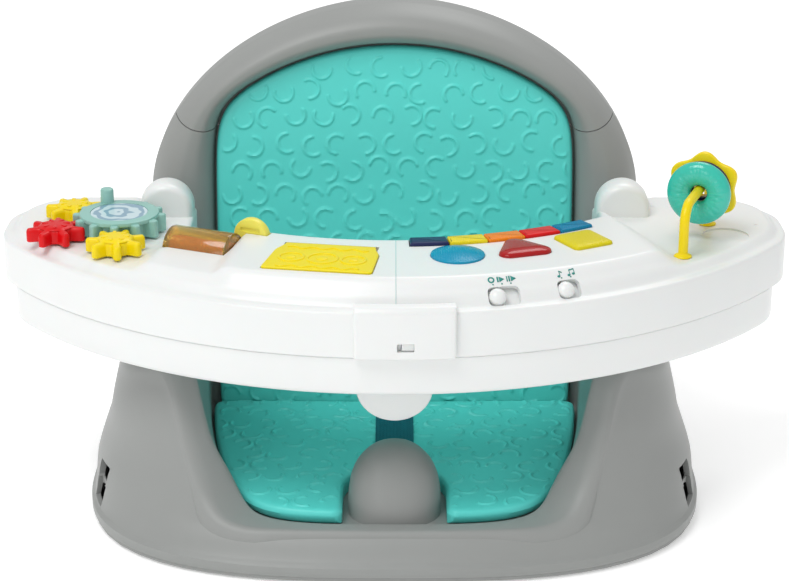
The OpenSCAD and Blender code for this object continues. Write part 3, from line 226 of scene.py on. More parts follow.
def block(name, low, high):
    (a, b, c), (d, e, f) = low, high
    return prism(name, [(a, b), (d, b), (d, e), (a, e)], c, f)


def round_corners(corners, r, steps=6):
    """Outline through corners, each rounded by radius r."""
    corners, out = np.array(corners, float), []
    for k, corner in enumerate(corners):
        to_last = corners[k - 1] - corner
        to_next = corners[(k + 1) % len(corners)] - corner
        a, b = to_last / np.linalg.norm(to_last), to_next / np.linalg.norm(to_next)
        reach = min(r, 0.45 * np.linalg.norm(to_last), 0.45 * np.linalg.norm(to_next))
        for s in range(steps + 1):
            t = s / steps
            out.append(corner + a * reach * (1 - t) ** 2 + b * reach * t**2)
    return np.array(out)


def inset(outline, d):
    """Closed outline moved inwards by d along its own normals."""
    ahead, behind = np.roll(outline, -1, 0), np.roll(outline, 1, 0)
    along = ahead - behind
    along /= np.maximum(lengths(along), 1e-9)[:, None]
    area = np.sum(outline[:, 0] * ahead[:, 1] - ahead[:, 0] * outline[:, 1])
    return outline + d * math.copysign(1, area) * np.stack([-along[:, 1], along[:, 0]], 1)


def rounded_slab(name, outline, low, high, edge, foot_edge=0.0, sharp=34):
    """Plate of that outline with a rounded top edge, and a smaller one below."""
    rings = []
    for a in (90, 45, 0) if foot_edge else (0,):
        c, s = unit(a)
        rings.append((foot_edge * (1 - c), low + foot_edge * (1 - s)))
    for a in range(0, 91, 15):
        c, s = unit(a)
        rings.append((edge * (1 - c), high - edge * (1 - s)))
    return loft(name, [at_height(inset(outline, d), z) for d, z in rings], sharp)


def sweep(name, path, section):
    """Tube of that section along a path; the section's first axis stays level where it can."""
    path = np.array(path, float)
    along = unit_rows(np.gradient(path, axis=0))
    side = np.cross(along[0], [0.0, 0.0, 1.0])
    if np.linalg.norm(side) < 1e-6:
        side = np.cross(along[len(along) // 2], [0.0, 0.0, 1.0])
    rings = []
    for p, t in zip(path, along):
        side = side - t * np.dot(side, t)
        side /= np.linalg.norm(side)
        rings.append(p + np.outer(section[:, 0], side) + np.outer(section[:, 1], np.cross(side, t)))
    return loft(name, rings)


def moved(piece, matrix):
    """Places a mesh by a matrix in millimetres."""
    matrix = matrix.copy()
    matrix.translation *= MM
    piece.data.transform(matrix)
    return piece


def solid(base, how, *tools):
    """Cuts the tools out of the base, or joins or crosses them with it, and deletes them."""
    for tool in tools:
        step = base.modifiers.new("solid", "BOOLEAN")
        step.operation, step.solver, step.object = how, "MANIFOLD", tool
    bpy.context.view_layer.update()
    graph = bpy.context.evaluated_depsgraph_get()
    made = bpy.data.meshes.new_from_object(base.evaluated_get(graph))
    base.modifiers.clear()
    base.data = made
    for tool in tools:
        bpy.data.objects.remove(tool)
    return shade(base)


def cut(base, *tools):
    return solid(base, "DIFFERENCE", *tools)


def join(base, *tools):
    return solid(base, "UNION", *tools)


# ---- Places on the trays ------------------------------------------------------------------


def shift(x, y, z):
    return Matrix.Translation((x, y, z))


def spin(degrees, axis):
    return Matrix.Rotation(math.radians(degrees), 4, axis)


def on_tray(p, r, z):
    """Place at angle p and radius r about the trays' common centre, local -Y outwards."""
    return shift(0, TRAY_CY, 0) @ spin(p, "Z") @ shift(0, -r, z)


SLOPE_D, SLOPE_TILT = 11, 46


def on_slope(p):
    return on_tray(p, TRAY_R - SLOPE_D, DECK_Z + 0.2) @ spin(SLOPE_TILT, "X")


# ---- Seat shell ---------------------------------------------------------------------------

WALL_N, WALL_REAR_N, SEAT_N, SEAT_LOW_N, SEAT_REAR_N = 2.8, 5, 3.5, 6, 24
ARM_SLOPE, ARM_SWEEP = 30, 34
WALL_SIDE = [(0, -3), (5, 0), (12, 0), (15, -2.5), (39, -5), (53, -9.5), (66, -14.5), (86, -18.5), (110, -24),
             (138, -29)]
WALL_FRONT = [(0, -3), (5, 0), (12, 0), (15, -4), (25, -13), (32, -21),
              (39, -26), (53, -33), (66, -37), (86, -43), (110, -50), (138, -58)]
WALL_REAR = [(0, -3), (5, 0), (12, 0), (15, -3), (39, -7), (66, -13), (86, -17), (110, -22), (138, -28)]


def wall_r(f, z):
    n = np.where(np.cos(f) > 0, WALL_N, WALL_REAR_N)
    side, front, rear = [flow(z, table) for table in (WALL_SIDE, WALL_FRONT, WALL_REAR)]
    return oval(f, BASE_HW + side, BASE_HD + front, BASE_HD + rear, n)


def panel_y(z):
    """Front face of the back panel."""
    return 79 + LEAN * (z - 25)


def basin(f, up, hw, front, rear, rear_n):
    """Outline whose sides draw in to the front and widen to the back, up to a height."""
    c, s = np.cos(f), np.abs(np.sin(f))
    side = hw / np.maximum(0.05, s + (0.14 + 0.1 * c) * (1 - up) * c)
    n = np.where(c > 0, mix(SEAT_LOW_N, SEAT_N, up), rear_n)
    return soft_min(side, np.where(c > 0, front, rear) / np.maximum(0.01, np.abs(c)), n)


def seat_r(f, z):
    """The seat's inside: it follows the seat pad below and opens out above it."""
    depth = BASE_HD - np.interp(z, [FLOOR_Z, LIP_Z], [34, 29])
    up = smooth((z - FLOOR_Z - PAD_T) / 56)
    return basin(f, up, SEAT_HW + 0.115 * np.maximum(0, z - 40), depth, panel_y(z) + 2, SEAT_REAR_N)


def edge_z(f):
    """Top edge: low lip in front, then up to the arms."""
    a = np.degrees(f) % 360
    a = np.where(a > 180, 360 - a, a)
    return mix(LIP_Z, ARM_Z, smooth(np.clip((a - ARM_SLOPE) / ARM_SWEEP, 0, 1) ** 1.8))


def edge_width(f):
    """From the seat's inside to its wall at the height of the top edge."""
    h = edge_z(f)
    return wall_r(f, h) - seat_r(f, h)


def edge_roll(f):
    """Roll of the outer top edge."""
    widest = 26 - 10 * smooth(-2 * np.cos(f))
    return np.minimum.reduce([widest, 0.5 * (edge_z(f) - FOOT_TOP), 0.62 * edge_width(f)])


def inner_roll(f):
    """Roll of the inner top edge, larger where the arms rise."""
    widest = 9 + 12 * smooth(2 * np.cos(f))
    return np.minimum.reduce([widest, 0.3 * (edge_z(f) - FLOOR_Z), 0.34 * edge_width(f)])


def corner_wall(f):
    """Extra wall behind the lower corners of the pads' room."""
    return 9 * smooth(1 - np.abs(np.abs(np.degrees(f) % 360 - 180) - 60) / 30)


def shell_outside(f):
    """Rows of the skin that shows: seat floor, basin, rolled edge and wall down to the rim."""
    h = edge_z(f)
    ro, ri, rf = edge_roll(f), inner_roll(f), np.minimum(6, 0.4 * (h - FLOOR_Z))
    zo, zi = h - ro, h - ri
    si, so = seat_r(f, zi), wall_r(f, zo)
    flat = 0 * f
    floor_r, fillet_r = seat_r(f, flat + FLOOR_Z) - rf, seat_r(f, FLOOR_Z + rf)
    rows = [(0.45 * seat_r(f, flat + FLOOR_Z), flat + FLOOR_Z), (floor_r, flat + FLOOR_Z)]
    for a in np.radians([18, 36, 54, 72, 90]):
        rows.append((mix(floor_r, fillet_r, np.sin(a)), FLOOR_Z + rf * (1 - np.cos(a))))
    for t in np.linspace(0.1, 1, 10):
        z = mix(FLOOR_Z + rf, zi, t)
        rows.append((seat_r(f, z), z))
    for a in np.radians(np.arange(15, 91, 15)):
        rows.append((si + ri * (1 - np.cos(a)), zi + ri * np.sin(a)))
    for a in np.radians(np.arange(90, -1, -9)):
        rows.append((so - ro * (1 - np.cos(a)), zo + ro * np.sin(a)))
    for t in np.linspace(0.93, 0.06, 14):
        z = mix(FOOT_TOP, zo, t)
        rows.append((wall_r(f, z), z))
    for z in (FOOT_TOP, 14.2, 13.2, 12, 9, 6.4):
        rows.append((wall_r(f, flat + z), flat + z))
    rows.append((wall_r(f, flat + RIM_Z) - 1, flat + RIM_Z))
    return rows


def shell_inside(f):
    """Rows of the hidden skin, a wall's thickness behind the other."""
    h, flat, t = edge_z(f), 0 * f, SHELL_T
    k = np.clip((edge_width(f) - 2 * t - 2) / 6, 0, 1)
    zu = mix(FLOOR_Z - t + 0.5, h - t, k)
    mid, q = (wall_r(f, h) + seat_r(f, h)) / 2, edge_roll(f)
    zr = np.minimum(mix(FOOT_TOP, zu - 1, 0.75), h - q)
    tc, foot = t + corner_wall(f), np.minimum(FLOOR_Z - t + 3, zu - 1)
    zl = mix(foot, zu, 0.6)
    ro = np.maximum(mid + 0.5, wall_r(f, zu) - np.maximum(q, t + 4))
    ri = np.minimum(mid - 0.5, seat_r(f, zu) + np.maximum(tc + 2, inner_roll(f)))
    floor_r = seat_r(f, flat + FLOOR_Z)
    rows = [(wall_r(f, flat + z) - less - t, flat + z) for z, less in ((RIM_Z, 1), (FOOT_TOP, 0))]
    for z in (mix(FOOT_TOP, zr, 0.4), zr):
        rows.append((np.maximum(ro, wall_r(f, z) - t), z))
    rows += [(ro, zu), (ri, zu)]
    rows += [(np.minimum(ri, seat_r(f, zl) + tc + 1), zl), (np.minimum(ri, floor_r + tc), foot)]
    rows += [(floor_r - 3, flat + FLOOR_Z - t), (0.45 * floor_r, flat + FLOOR_Z - t)]
    return rows


def tub():
    f = around(288 if FINE else 120)
    f = f + math.radians(4) * np.sin(4 * f)
    rows = shell_outside(f) + shell_inside(f)
    return loft("seat_shell", [np.stack([r * np.sin(f), -r * np.cos(f), z], 1) for r, z in rows])


# Backrest: outlines seen from the front, around the middle of the arch.
POCKET_HW, SLAB_FOOT, SLAB_CUT = SEAT_HW + PAD_GAP, 25, 113


def box_r(a, hw, drop, n):
    """Radius of a box of that half-width and depth below the middle, its corner rounded by n."""
    return soft_min(hw / np.maximum(0.01, np.abs(np.cos(a))), drop / np.maximum(1e-4, np.abs(np.sin(a))), n)


def arch_r(a):
    c, s = np.abs(np.cos(a) / ARCH_HW), np.abs(np.sin(a) / (ARCH_TOP - ARCH_Z))
    up = (c**ARCH_N + s**ARCH_N) ** (-1 / ARCH_N)
    return np.where(np.sin(a) >= 0, up, box_r(a, ARCH_HW, ARCH_Z - SLAB_FOOT, 14))


def pad_r(a, hw, top, foot):
    r = BACK_PAD_R + top - BACK_PAD_TOP
    c = top - r - ARCH_Z
    arc = c * np.sin(a) + np.sqrt(r * r - (c * np.cos(a)) ** 2)
    end = np.where(np.sin(a) > -0.2, arc, (ARCH_Z - foot) / np.maximum(1e-4, np.abs(np.sin(a))))
    return soft_min(hw / np.maximum(0.01, np.abs(np.cos(a))), end, np.where(np.sin(a) > -0.2, 16, 40))


def pocket_r(a):
    return np.minimum(arch_r(a) - 1.5, pad_r(a, POCKET_HW, BACK_PAD_TOP + PAD_GAP, SLAB_FOOT + 1.5))


def slab_pt(a, r, d):
    z = ARCH_Z + r * np.sin(a)
    return np.stack([r * np.cos(a), panel_y(z) + d, z], -1)


# Rolled rim of the backrest: share of its width and how far it stands forward.
RIM_ROLL = [(0, 0), (0.06, -0.5), (0.16, -0.78), (0.32, -0.97), (0.5, -1), (0.7, -0.86), (0.88, -0.5),
            (0.97, -0.14), (1, 0)]


def slab_ring(a, w, d, t):
    """Ring at share w of the rim's width, d behind the panel, for a skin drawn in by t."""
    ri, ro = pocket_r(a), arch_r(a)
    e = np.minimum(t, 0.4 * (ro - ri))
    return slab_pt(a, mix(ri + e, ro - e, w), d)


def backrest(name):
    """Arch from the panel over the rolled rim to its back, hollow behind."""
    a = around(AROUND)
    ends = np.linspace(0, 0.06, 4), [0.93, 0.96, 0.98, 0.993, 1]
    steps = np.concatenate([ends[0], np.linspace(0.09, 0.9, 16), ends[1]])
    rings = [slab_pt(a, 0.5 * pocket_r(a), 0)]
    rings += [slab_ring(a, w, flow(w, RIM_ROLL) * RIM_FRONT, 0) for w in steps]
    rings += [slab_ring(a, 1, d, 0) for d in (RIM_REAR * 0.3, RIM_REAR * 0.7, RIM_REAR - 1)]
    rings += [slab_ring(a, 1, d, t) for d, t in ((RIM_REAR, 0.8), (RIM_REAR, SHELL_T), (0, SHELL_T))]
    rings += [slab_ring(a, w, flow(w, RIM_ROLL) * (RIM_FRONT - SHELL_T), SHELL_T) for w in steps[-3:3:-2]]
    rings += [slab_ring(a, 0, 4, SHELL_T), slab_pt(a, 0.5 * pocket_r(a), 4)]
    return loft(name, rings)


def above_seam(raised):
    """Room above the curved joint of the backrest's top piece."""
    w, t = ARCH_HW + 5, np.linspace(0, 1, 17)
    half = np.stack([mix(POCKET_HW, w, t), mix(SEAM_IN, SEAM_OUT, t * t) + raised], 1)
    outline = np.concatenate([half[::-1] * [-1, 1], half, [[w, ARCH_TOP + 20], [-w, ARCH_TOP + 20]]])
    return loft("room", [facing(outline, y) for y in (-50, 250)])


def pad_room():
    """Recess behind the back pad, so that the pad lies against the panel down to the seat."""
    a = around(180)
    r = pad_r(a, POCKET_HW + 0.5, BACK_PAD_TOP + PAD_GAP, FLOOR_Z + 0.3)
    return loft("room", [slab_pt(a, r, d) for d in (2, -16)])


# Pommel: share of its height, of its width and of its depth.
POMMEL_FORM = np.array([(-0.1, 1, 1), (0.25, 1, 1), (0.5, 0.95, 0.92), (0.68, 0.84, 0.8), (0.82, 0.67, 0.63),
                        (0.93, 0.45, 0.42), (0.985, 0.24, 0.22), (1, 0.1, 0.1)])
POMMEL_HW, POMMEL_HD, POMMEL_N = POMMEL_W / 2 - 2.2, 31, 2.3


def pommel():
    """Rounded pommel that leans back a little."""
    z0, f = FLOOR_Z - SHELL_T, around(96)
    rings = []
    low = (-0.1, 0.1, 0.25, 0.35, 0.45, 0.55, 0.65, 0.72, 0.78, 0.83)
    for h in low + (0.87, 0.9, 0.93, 0.955, 0.975, 0.99, 1):
        wide, deep = [float(flow(h, POMMEL_FORM[:, [0, k]])) for k in (1, 2)]
        r = oval(f, wide * POMMEL_HW, deep * POMMEL_HD, deep * (POMMEL_HD - 1), POMMEL_N)
        z = max(z0 - 0.5, mix(z0, POMMEL_Z, h))
        rings.append(np.stack([r * np.sin(f), -POMMEL_Y - r * np.cos(f) + 10 * h, 0 * f + z], 1))
    return loft("pommel_form", rings)


def strap_slots():
    """Tie slots through the sides of the base, each with a recess below."""
    made = []
    for side in (1, -1):
        place = shift(side * 213.5, -67, 0) @ spin(-20 * side, "Z")
        hole = round_corners([(-10.5, 31), (10.5, 31), (10.5, 44.7), (-10.5, 44.7)], 2)
        through = loft("slot", [upright(hole, x) for x in (-25, 25)])
        low, high = sorted((-0.5 * side, 19.5 * side))
        made += [moved(through, place), moved(block("slot", (low, -11.5, 15.5), (high, 11.5, 31.01)), place)]
    return made


def seat_pieces():
    shell = cut(tub(), pad_room())
    low = cut(backrest("low"), above_seam(-0.45), block("low_cut", (-300, -300, -80), (300, 300, SLAB_CUT)))
    shell = join(shell, low, pommel())
    shell = cut(shell, *strap_slots())
    top = solid(backrest("backrest_cap"), "INTERSECT", above_seam(0.45))
    return shell, top


# ---- Foam pads and webbing ----------------------------------------------------------------

# Embossed arcs: radius, half their span in degrees, half-width and height of the ridge, distance apart.
ARC_R, ARC_SPAN, RIDGE_W, RIDGE_H, ARC_PITCH = 7.3, 104, 1.7, 1.1, 21.5
# Size of the field they are laid out on, how far one may lie off its place, and how far it reaches.
ARC_FIELD, ARC_LOOSE, ARC_REACH = 330, 2.6, 10.5


def ridges(x, y, seed):
    """Height of the embossed open arcs at flat places x, y."""
    dice, height = random.Random(seed), np.zeros_like(x)
    rows = int(ARC_FIELD / ARC_PITCH) + 2
    for row in range(-rows, rows):
        for col in range(-rows, rows):
            cx = (col + 0.5 * (row % 2)) * ARC_PITCH + dice.uniform(-ARC_LOOSE, ARC_LOOSE)
            cy = row * ARC_PITCH * 0.92 + dice.uniform(-ARC_LOOSE, ARC_LOOSE)
            turn = dice.choice((20, 75, 110, 160, 200, 250, 290, 340)) + dice.uniform(-12, 12)
            near = (np.abs(x - cx) < ARC_REACH) & (np.abs(y - cy) < ARC_REACH)
            if not near.any():
                continue
            dx, dy = x[near] - cx, y[near] - cy
            a = (np.degrees(np.arctan2(dy, dx)) - turn + 180) % 360 - 180
            end = np.radians(turn + np.sign(a) * ARC_SPAN)
            beyond = np.hypot(dx - ARC_R * np.cos(end), dy - ARC_R * np.sin(end))
            away = np.where(np.abs(a) < ARC_SPAN, np.abs(np.hypot(dx, dy) - ARC_R), beyond)
            height[near] = np.maximum(height[near], RIDGE_H * smooth(1.25 * (1 - away / RIDGE_W)))
    return height


# Inset from the outline and share of the thickness, from the side to the crown of a pad.
CROWN = [(0, 0.62), (0.8, 0.82), (2.6, 0.95), (6, 1), (40, 1.02), (400, 1.02)]


def pad(name, radius, point, seed, flat_edge=None, foot=((0, 0.3), (0.8, 0.1), (2.5, 0))):
    """Foam pad: a fine sheet over the face with its embossing, then the side and the back.

    radius(a) is the outline, point(a, r, height) the place of a point at that height above the back."""
    m = 300 if FINE else 110
    t = np.sin(np.linspace(-1, 1, m + 1) * 1.25) / math.sin(1.25)
    u, v = np.meshgrid(t, t)
    rho, a = np.maximum(np.abs(u), np.abs(v)), np.arctan2(v, u)
    edge = radius(a)
    flat = np.stack([rho * edge * np.cos(a), rho * edge * np.sin(a)], -1)
    away = edge * (1 - rho)
    if flat_edge is not None:
        away = np.minimum(away, np.maximum(0, flat_edge(a, rho * edge)))
    emboss = ridges(flat[..., 0], flat[..., 1], seed) * smooth((away - 3) / 4)
    face = point(a, rho * edge, flow(away, CROWN) * (PAD_T - GAP) + emboss)
    index = np.arange((m + 1) ** 2).reshape(m + 1, m + 1)
    rim = np.concatenate([index[0, :-1], index[:-1, -1], index[-1, :0:-1], index[:0:-1, 0]])
    quads = np.stack([index[:-1, :-1], index[:-1, 1:], index[1:, 1:], index[1:, :-1]], -1)
    quads = quads.reshape(-1, 4).tolist()
    points, rows, ra = [face.reshape(-1, 3)], [rim], a.reshape(-1)[rim]
    for inwards, share in foot:
        start = sum(len(p) for p in points)
        points.append(point(ra, radius(ra) - inwards, share * (PAD_T - GAP) + 0 * ra))
        rows.append(start + np.arange(len(rim)))
    for upper, lower in zip(rows, rows[1:]):
        quads += np.stack([upper, np.roll(upper, -1), np.roll(lower, -1), lower], -1).tolist()
    return make_mesh(name, np.concatenate(points), quads + [rows[-1].tolist()], 50)


def back_pad():
    foot = FLOOR_Z + 1.6
    return pad(
        "back_foam",
        lambda a: pad_r(a, SEAT_HW, BACK_PAD_TOP, foot),
        lambda a, r, h: slab_pt(a, r, -GAP - h),
        seed=11,
    )


STRAP_FRONT, STRAP_REAR, STRAP_RIB = 50, 58, 1.9
STADIUM_R, PAD_CORNER = POMMEL_W / 2 + 1.7, 7.5


def seat_pad_r(a):
    """Outline of the seat pad, a little inside the tub at the height of its floor."""
    return basin(a + math.pi / 2, 0, SEAT_HW - 2.2, BASE_HD - 35.7, panel_y(FLOOR_Z) - PAD_T - 1, 30)


def pad_front():
    """Where the pad's front edge is beside the cut-out."""
    a = np.linspace(-math.pi / 2, -0.3, 200)
    r = seat_pad_r(a)
    return float(np.interp(STADIUM_R + PAD_CORNER, r * np.cos(a), r * np.sin(a)))


def from_pommel(a, r):
    """Distance from the pad's cut-out round the pommel."""
    x, y = r * np.cos(a), r * np.sin(a)
    away = np.hypot(x, np.maximum(0, y + POMMEL_Y - 13)) - STADIUM_R
    side, front = PAD_CORNER - away, PAD_CORNER + pad_front() - y
    return np.where((side > 0) & (front > 0), PAD_CORNER - np.hypot(side, front), away)


def seat_pad():
    z0 = FLOOR_Z + GAP
    foam = pad(
        "seat_foam",
        seat_pad_r,
        lambda a, r, h: np.stack([r * np.cos(a), r * np.sin(a), z0 + h], -1),
        seed=5,
        flat_edge=from_pommel,
        foot=((1.2, 0.3), (3.4, 0.1), (7, 0)),
    )
    a = np.linspace(0, math.pi, 33)
    y = 13 - POMMEL_Y
    wide, front = STADIUM_R + PAD_CORNER, PAD_CORNER + pad_front()
    bend = np.linspace(0, math.pi / 2, 9)
    corner = np.stack([wide - PAD_CORNER * np.cos(bend), front - PAD_CORNER * np.sin(bend)], 1)
    arc = np.stack([STADIUM_R * np.cos(a), y + STADIUM_R * np.sin(a)], 1)
    outline = np.concatenate([arc, corner * [-1, 1], [[-wide, -190], [wide, -190]], corner[::-1]])
    tools, x = [prism("cut_out", outline, z0 - 5, z0 + 40)], STRAP_W / 2 + 1.5
    for y in (-STRAP_FRONT, STRAP_REAR):
        tools.append(block("slot", (-x, y - 2.5, z0 - 5), (x, y + 2.5, z0 + 30)))
    return cut(foam, *tools)


def webbing():
    """Crotch strap with its ribs across, both ends down through the pad."""
    top, drop, bend = FLOOR_Z + PAD_T + 1.6, 15, 2.6
    corners = [(-STRAP_FRONT, top - drop), (-STRAP_FRONT, top), (STRAP_REAR, top), (STRAP_REAR, top - drop)]
    path = []
    for k in range(3):
        a, b = np.array(corners[k], float), np.array(corners[k + 1], float)
        along = (b - a) / np.linalg.norm(b - a)
        first, last = a + along * (bend if k else 0), b - along * (bend if k < 2 else 0)
        steps = max(3, int(np.linalg.norm(last - first) / 0.4))
        path += [mix(first, last, t) for t in np.linspace(0, 1, steps)]
        if k < 2:
            after = np.array(corners[k + 2], float) - b
            after /= np.linalg.norm(after)
            path += [b - along * bend * (1 - t) ** 2 + after * bend * t**2 for t in (0.2, 0.4, 0.6, 0.8)]
    path = np.array(path)
    length = np.concatenate([[0], np.cumsum(lengths(np.diff(path, axis=0)))])
    along = unit_rows(np.gradient(path, axis=0))
    normal = np.stack([-along[:, 1], along[:, 0]], 1)
    across = np.concatenate([np.linspace(-1, 1, 9), np.linspace(1, -1, 9)])
    half = np.array([0.35] + [1] * 7 + [0.35])
    half = np.concatenate([half, -half])
    rings = []
    for p, n, s in zip(path, normal, length):
        thick = STRAP_T / 2 - 0.16 + 0.16 * math.cos(TURN * s / STRAP_RIB)
        yz = p + np.outer(half * thick, n)
        rings.append(np.stack([across * STRAP_W / 2, yz[:, 0], yz[:, 1]], 1))
    return loft("crotch_webbing", rings, 60)


# ---- Trays --------------------------------------------------------------------------------

WING_HW, WING_Y, LOBE_Y = ARCH_HW + 5.5, 62, 85
SEAM_X = 1
RIM_DROP = DECK_Z - 194.5
MIRROR = {False: np.array([1, 1, 1]), True: np.array([-1, 1, 1])}
FRONT_Y = TRAY_CY - TRAY_R


def tray_pt(p, r):
    """Point at angle p and radius r about the trays' common centre."""
    p = np.radians(p)
    return np.stack([r * np.sin(p), TRAY_CY - r * np.cos(p)], -1)


def tray_pairs(r, hw, rf, rr, back, seam, g):
    """Outer and inner points along one half of a tray drawn in by g, and the angle of each pair."""
    cx = hw - rf
    cy = TRAY_CY - math.sqrt((r - rf) ** 2 - cx**2)
    pt, rear = math.degrees(math.atan2(cx, TRAY_CY - cy)), LOBE_Y - back
    qx, qy, oi, ri = hw - rr, rear - rr, OPEN_HW + g, CHILD_R + g
    wy, wx = WING_Y - g, WING_HW + g
    pairs = [((seam + g, TRAY_CY - r + g), (seam + g, TRAY_CY - ri), 0)]
    for p in np.arange(1, 50.6, 1.1 if FINE else 2.2):
        s = math.radians(p)
        q = tray_pt(p, ri) if ri * math.sin(s) < oi else (oi, min(wy, TRAY_CY - oi / math.tan(s)))
        pairs.append((tray_pt(p, r - g), q, p))
    for k in np.linspace(0, 1, 14):
        a = math.radians(mix(pt - 90, 0, k))
        out = (cx + (rf - g) * math.cos(a), cy + (rf - g) * math.sin(a))
        pairs.append((out, (mix(oi + 6, wx, 0.75 * k), wy), 90))
    pairs.append(((hw - g, mix(cy, qy, 0.6)), (wx, wy), 90))
    for k in np.linspace(0, 1, 14):
        a = math.radians(90 * k)
        q = (wx, mix(wy, rear - g, 0.2 + 0.8 * k))
        pairs.append(((qx + (rr - g) * math.cos(a), qy + (rr - g) * math.sin(a)), q, 90))
    return [(np.array(o, float), np.array(q, float), p) for o, q, p in pairs]


def bar_right(p, r):
    """Rise of the raised bar of the right half at angle p and radius r, from 0 to 1."""
    return smooth((40.3 + (307 - r) * 0.07 - p) / 4.5)


def bar_left(p, r):
    """The same of the left half, which ends in two steps round the roller."""
    step = smooth((36.4 + (307 - r) * 0.07 - p) / 3.2)
    return 0.46 * step + 0.54 * smooth((27.1 + (250 - r) * 0.055 - p) / 2)


def toy_half(name, left, g):
    """One half of the activity tray as a solid, drawn in and lowered by g."""
    seam = (-SEAM_X if left else SEAM_X) + GAP / 2
    foot = SKIRT_Z - 5 if g else SKIRT_Z
    bar = bar_left if left else bar_right
    rings = []
    for o, q, p in tray_pairs(TRAY_R, TRAY_HW, 60, 43, 0, seam, g):
        l = np.linalg.norm(o - q)
        d = [[0, 0.35, 0.8, 1.5, 3, 5, 6.5], np.arange(8, 27, 1.5), np.linspace(30, l - 10, 12)]
        d = np.concatenate(d + [l - np.array([7, 5, 3.2, 1.6, 0.8, 0.3, 0])])
        rim = [(0, -RIM_DROP), (0.4, -6.3), (1.5, -5.5), (6, -5), (14, 0)]
        deck = flow(d, rim + [(l - 6, 0), (l - 1.5, -0.9), (l - 0.4, -2), (l, -3.5)])
        slope = [(0, 0), (6, 0), (14, 0.32), (21, 0.86), (24.5, 1)]
        rise = flow(d, slope + [(l - 5, 1), (l - 1.2, 0.95), (l, 0.8)])
        z = DECK_Z + deck + BAR_H * bar(p, TRAY_R - d) * rise - g
        top = np.column_stack([mix(o[None, :], q[None, :], (d / l)[:, None]), z])
        ring = np.concatenate([[[*o, foot]], top, [[*q, foot]]])
        rings.append(ring * MIRROR[left])
    return loft(name, rings, 28)


EAR_W, EAR_Y, EAR_D, EAR_TOP = 41, 47.5, 13.5, 227
EAR_X = OPEN_HW + 0.5 + EAR_W / 2


def ear(left, g):
    """Rounded pillar beside the backrest, drawn in by g."""
    a, mid, foot = np.linspace(0, math.pi, 37), EAR_TOP - EAR_W / 2, DECK_Z - 2 - 2 * g
    shape = [(1, -5), (0.97, -3.2), (0.9, -2), (0.8, -1.1), (0.68, -0.4), (0.5, 0)]
    rings = []
    for side in (-1, 1):
        for d, less in shape[:: -side]:
            r = EAR_W / 2 - g + less
            arc = np.stack([EAR_X + r * np.cos(a), mid + r * np.sin(a)], 1)
            outline = np.concatenate([arc, [[EAR_X - r, foot], [EAR_X + r, foot]]])
            ring = facing(outline, EAR_Y + side * d * (EAR_D - g))
            rings.append(ring * MIRROR[left])
    return loft("ear", sorted(rings, key=lambda ring: ring[0, 1]), 40)


BUTTON_R, ROUND_P, TRIANGLE_P, SQUARE_P = 279, 9.1, 18.7, 28.8
KEYS_N, KEY_P0, KEY_PITCH, KEY_IN, KEY_OUT = 5, 5.6, 6.35, CHILD_R + 4, CHILD_R + 19.2
BAR_FOOT_A, BAR_FOOT_B, COLLAR_D = np.array([206.0, -57.0]), np.array([234.0, 18.0]), 13
LATCH_X0, LATCH_Z, LATCH_X = SEAM_X + GAP / 2 + TRAY_T + 2 * GAP, 173.2, 7.5
POWER_P, MELODY_P, POWER_L, MELODY_L, WINDOW_W = 12.9, 21, 22.6, 16.6, 14


def arc_block(p0, p1, r0, r1, z0, z1, steps=40):
    """Part of a ring about the trays' centre between two angles."""
    rings = []
    for p in np.linspace(p0, p1, steps):
        (xa, ya), (xb, yb) = tray_pt(p, r0), tray_pt(p, r1)
        rings.append([(xa, ya, z0), (xb, yb, z0), (xb, yb, z1), (xa, ya, z1)])
    return loft("arc", rings)


def triangle_outline(g):
    """Triangle with large round corners, grown by g."""
    points = []
    for a, reach in ((90, 12.8), (210, 13.5), (330, 13.5)):
        for t in np.linspace(-60, 60, 17):
            points.append(reach * unit(a) + (7.5 + g) * unit(a + t))
    return np.array(points)


def square_outline(g):
    """Square with round corners, grown by g."""
    points, c = [], SQUARE_W / 2 - 4
    for a in (45, 135, 225, 315):
        for t in np.linspace(-45, 45, 9):
            points.append(c * np.sign(unit(a)) + (4 + g) * unit(a + t))
    return np.array(points)


def drill(outline, place, low, high):
    return moved(prism("drill", outline, low, high), place)


def right_holes():
    """Holes for keys, buttons, knobs, ring bar and latch, and the ring groove of the right deck."""
    first, last = KEY_P0 - KEY_PITCH / 2, KEY_P0 + (KEYS_N - 0.5) * KEY_PITCH
    holes = [arc_block(first - 0.1, last + 0.1, KEY_IN, KEY_OUT, DECK_Z - 10, BAR_Z + 5, 80)]
    buttons = ((circle(ROUND_D / 2 + GAP, 120), ROUND_P), (triangle_outline(GAP), TRIANGLE_P),
               (square_outline(GAP), SQUARE_P))
    for outline, p in buttons:
        holes.append(drill(outline, on_tray(p, BUTTON_R, DECK_Z - 5), 0, 30))
    for p, l in ((POWER_P, POWER_L), (MELODY_P, MELODY_L)):
        window = round_corners(rectangle(l / 2, WINDOW_W / 2), 4.5, 10)
        holes.append(drill(window, on_slope(p), -8, 12))
    for x, y in (BAR_FOOT_A, BAR_FOOT_B):
        holes.append(drill(circle(BAR_D / 2 + GAP), shift(x, y, DECK_Z - 10), 0, 30))
        holes.append(drill(circle(COLLAR_D / 2 + GAP), shift(x, y, DECK_Z - 0.1), 0, 5))
    holes.append(drill(circle(17, 96), shift(244, -8, DECK_Z - 1.2), 0, 5))
    low = (LATCH_X0 - GAP, FRONT_Y - 2, LATCH_Z - 2.3 - GAP)
    holes.append(block("drill", low, (LATCH_X0 + 8.5 + GAP, FRONT_Y + 10, LATCH_Z + 2.3 + GAP)))
    return holes


def deck_dimples():
    """Two shallow dimples beside the ring groove."""
    return [drill(circle(1.6, 24), shift(x, y, DECK_Z - 0.9), 0, 4) for x, y in ((262, -32), (270, 16))]


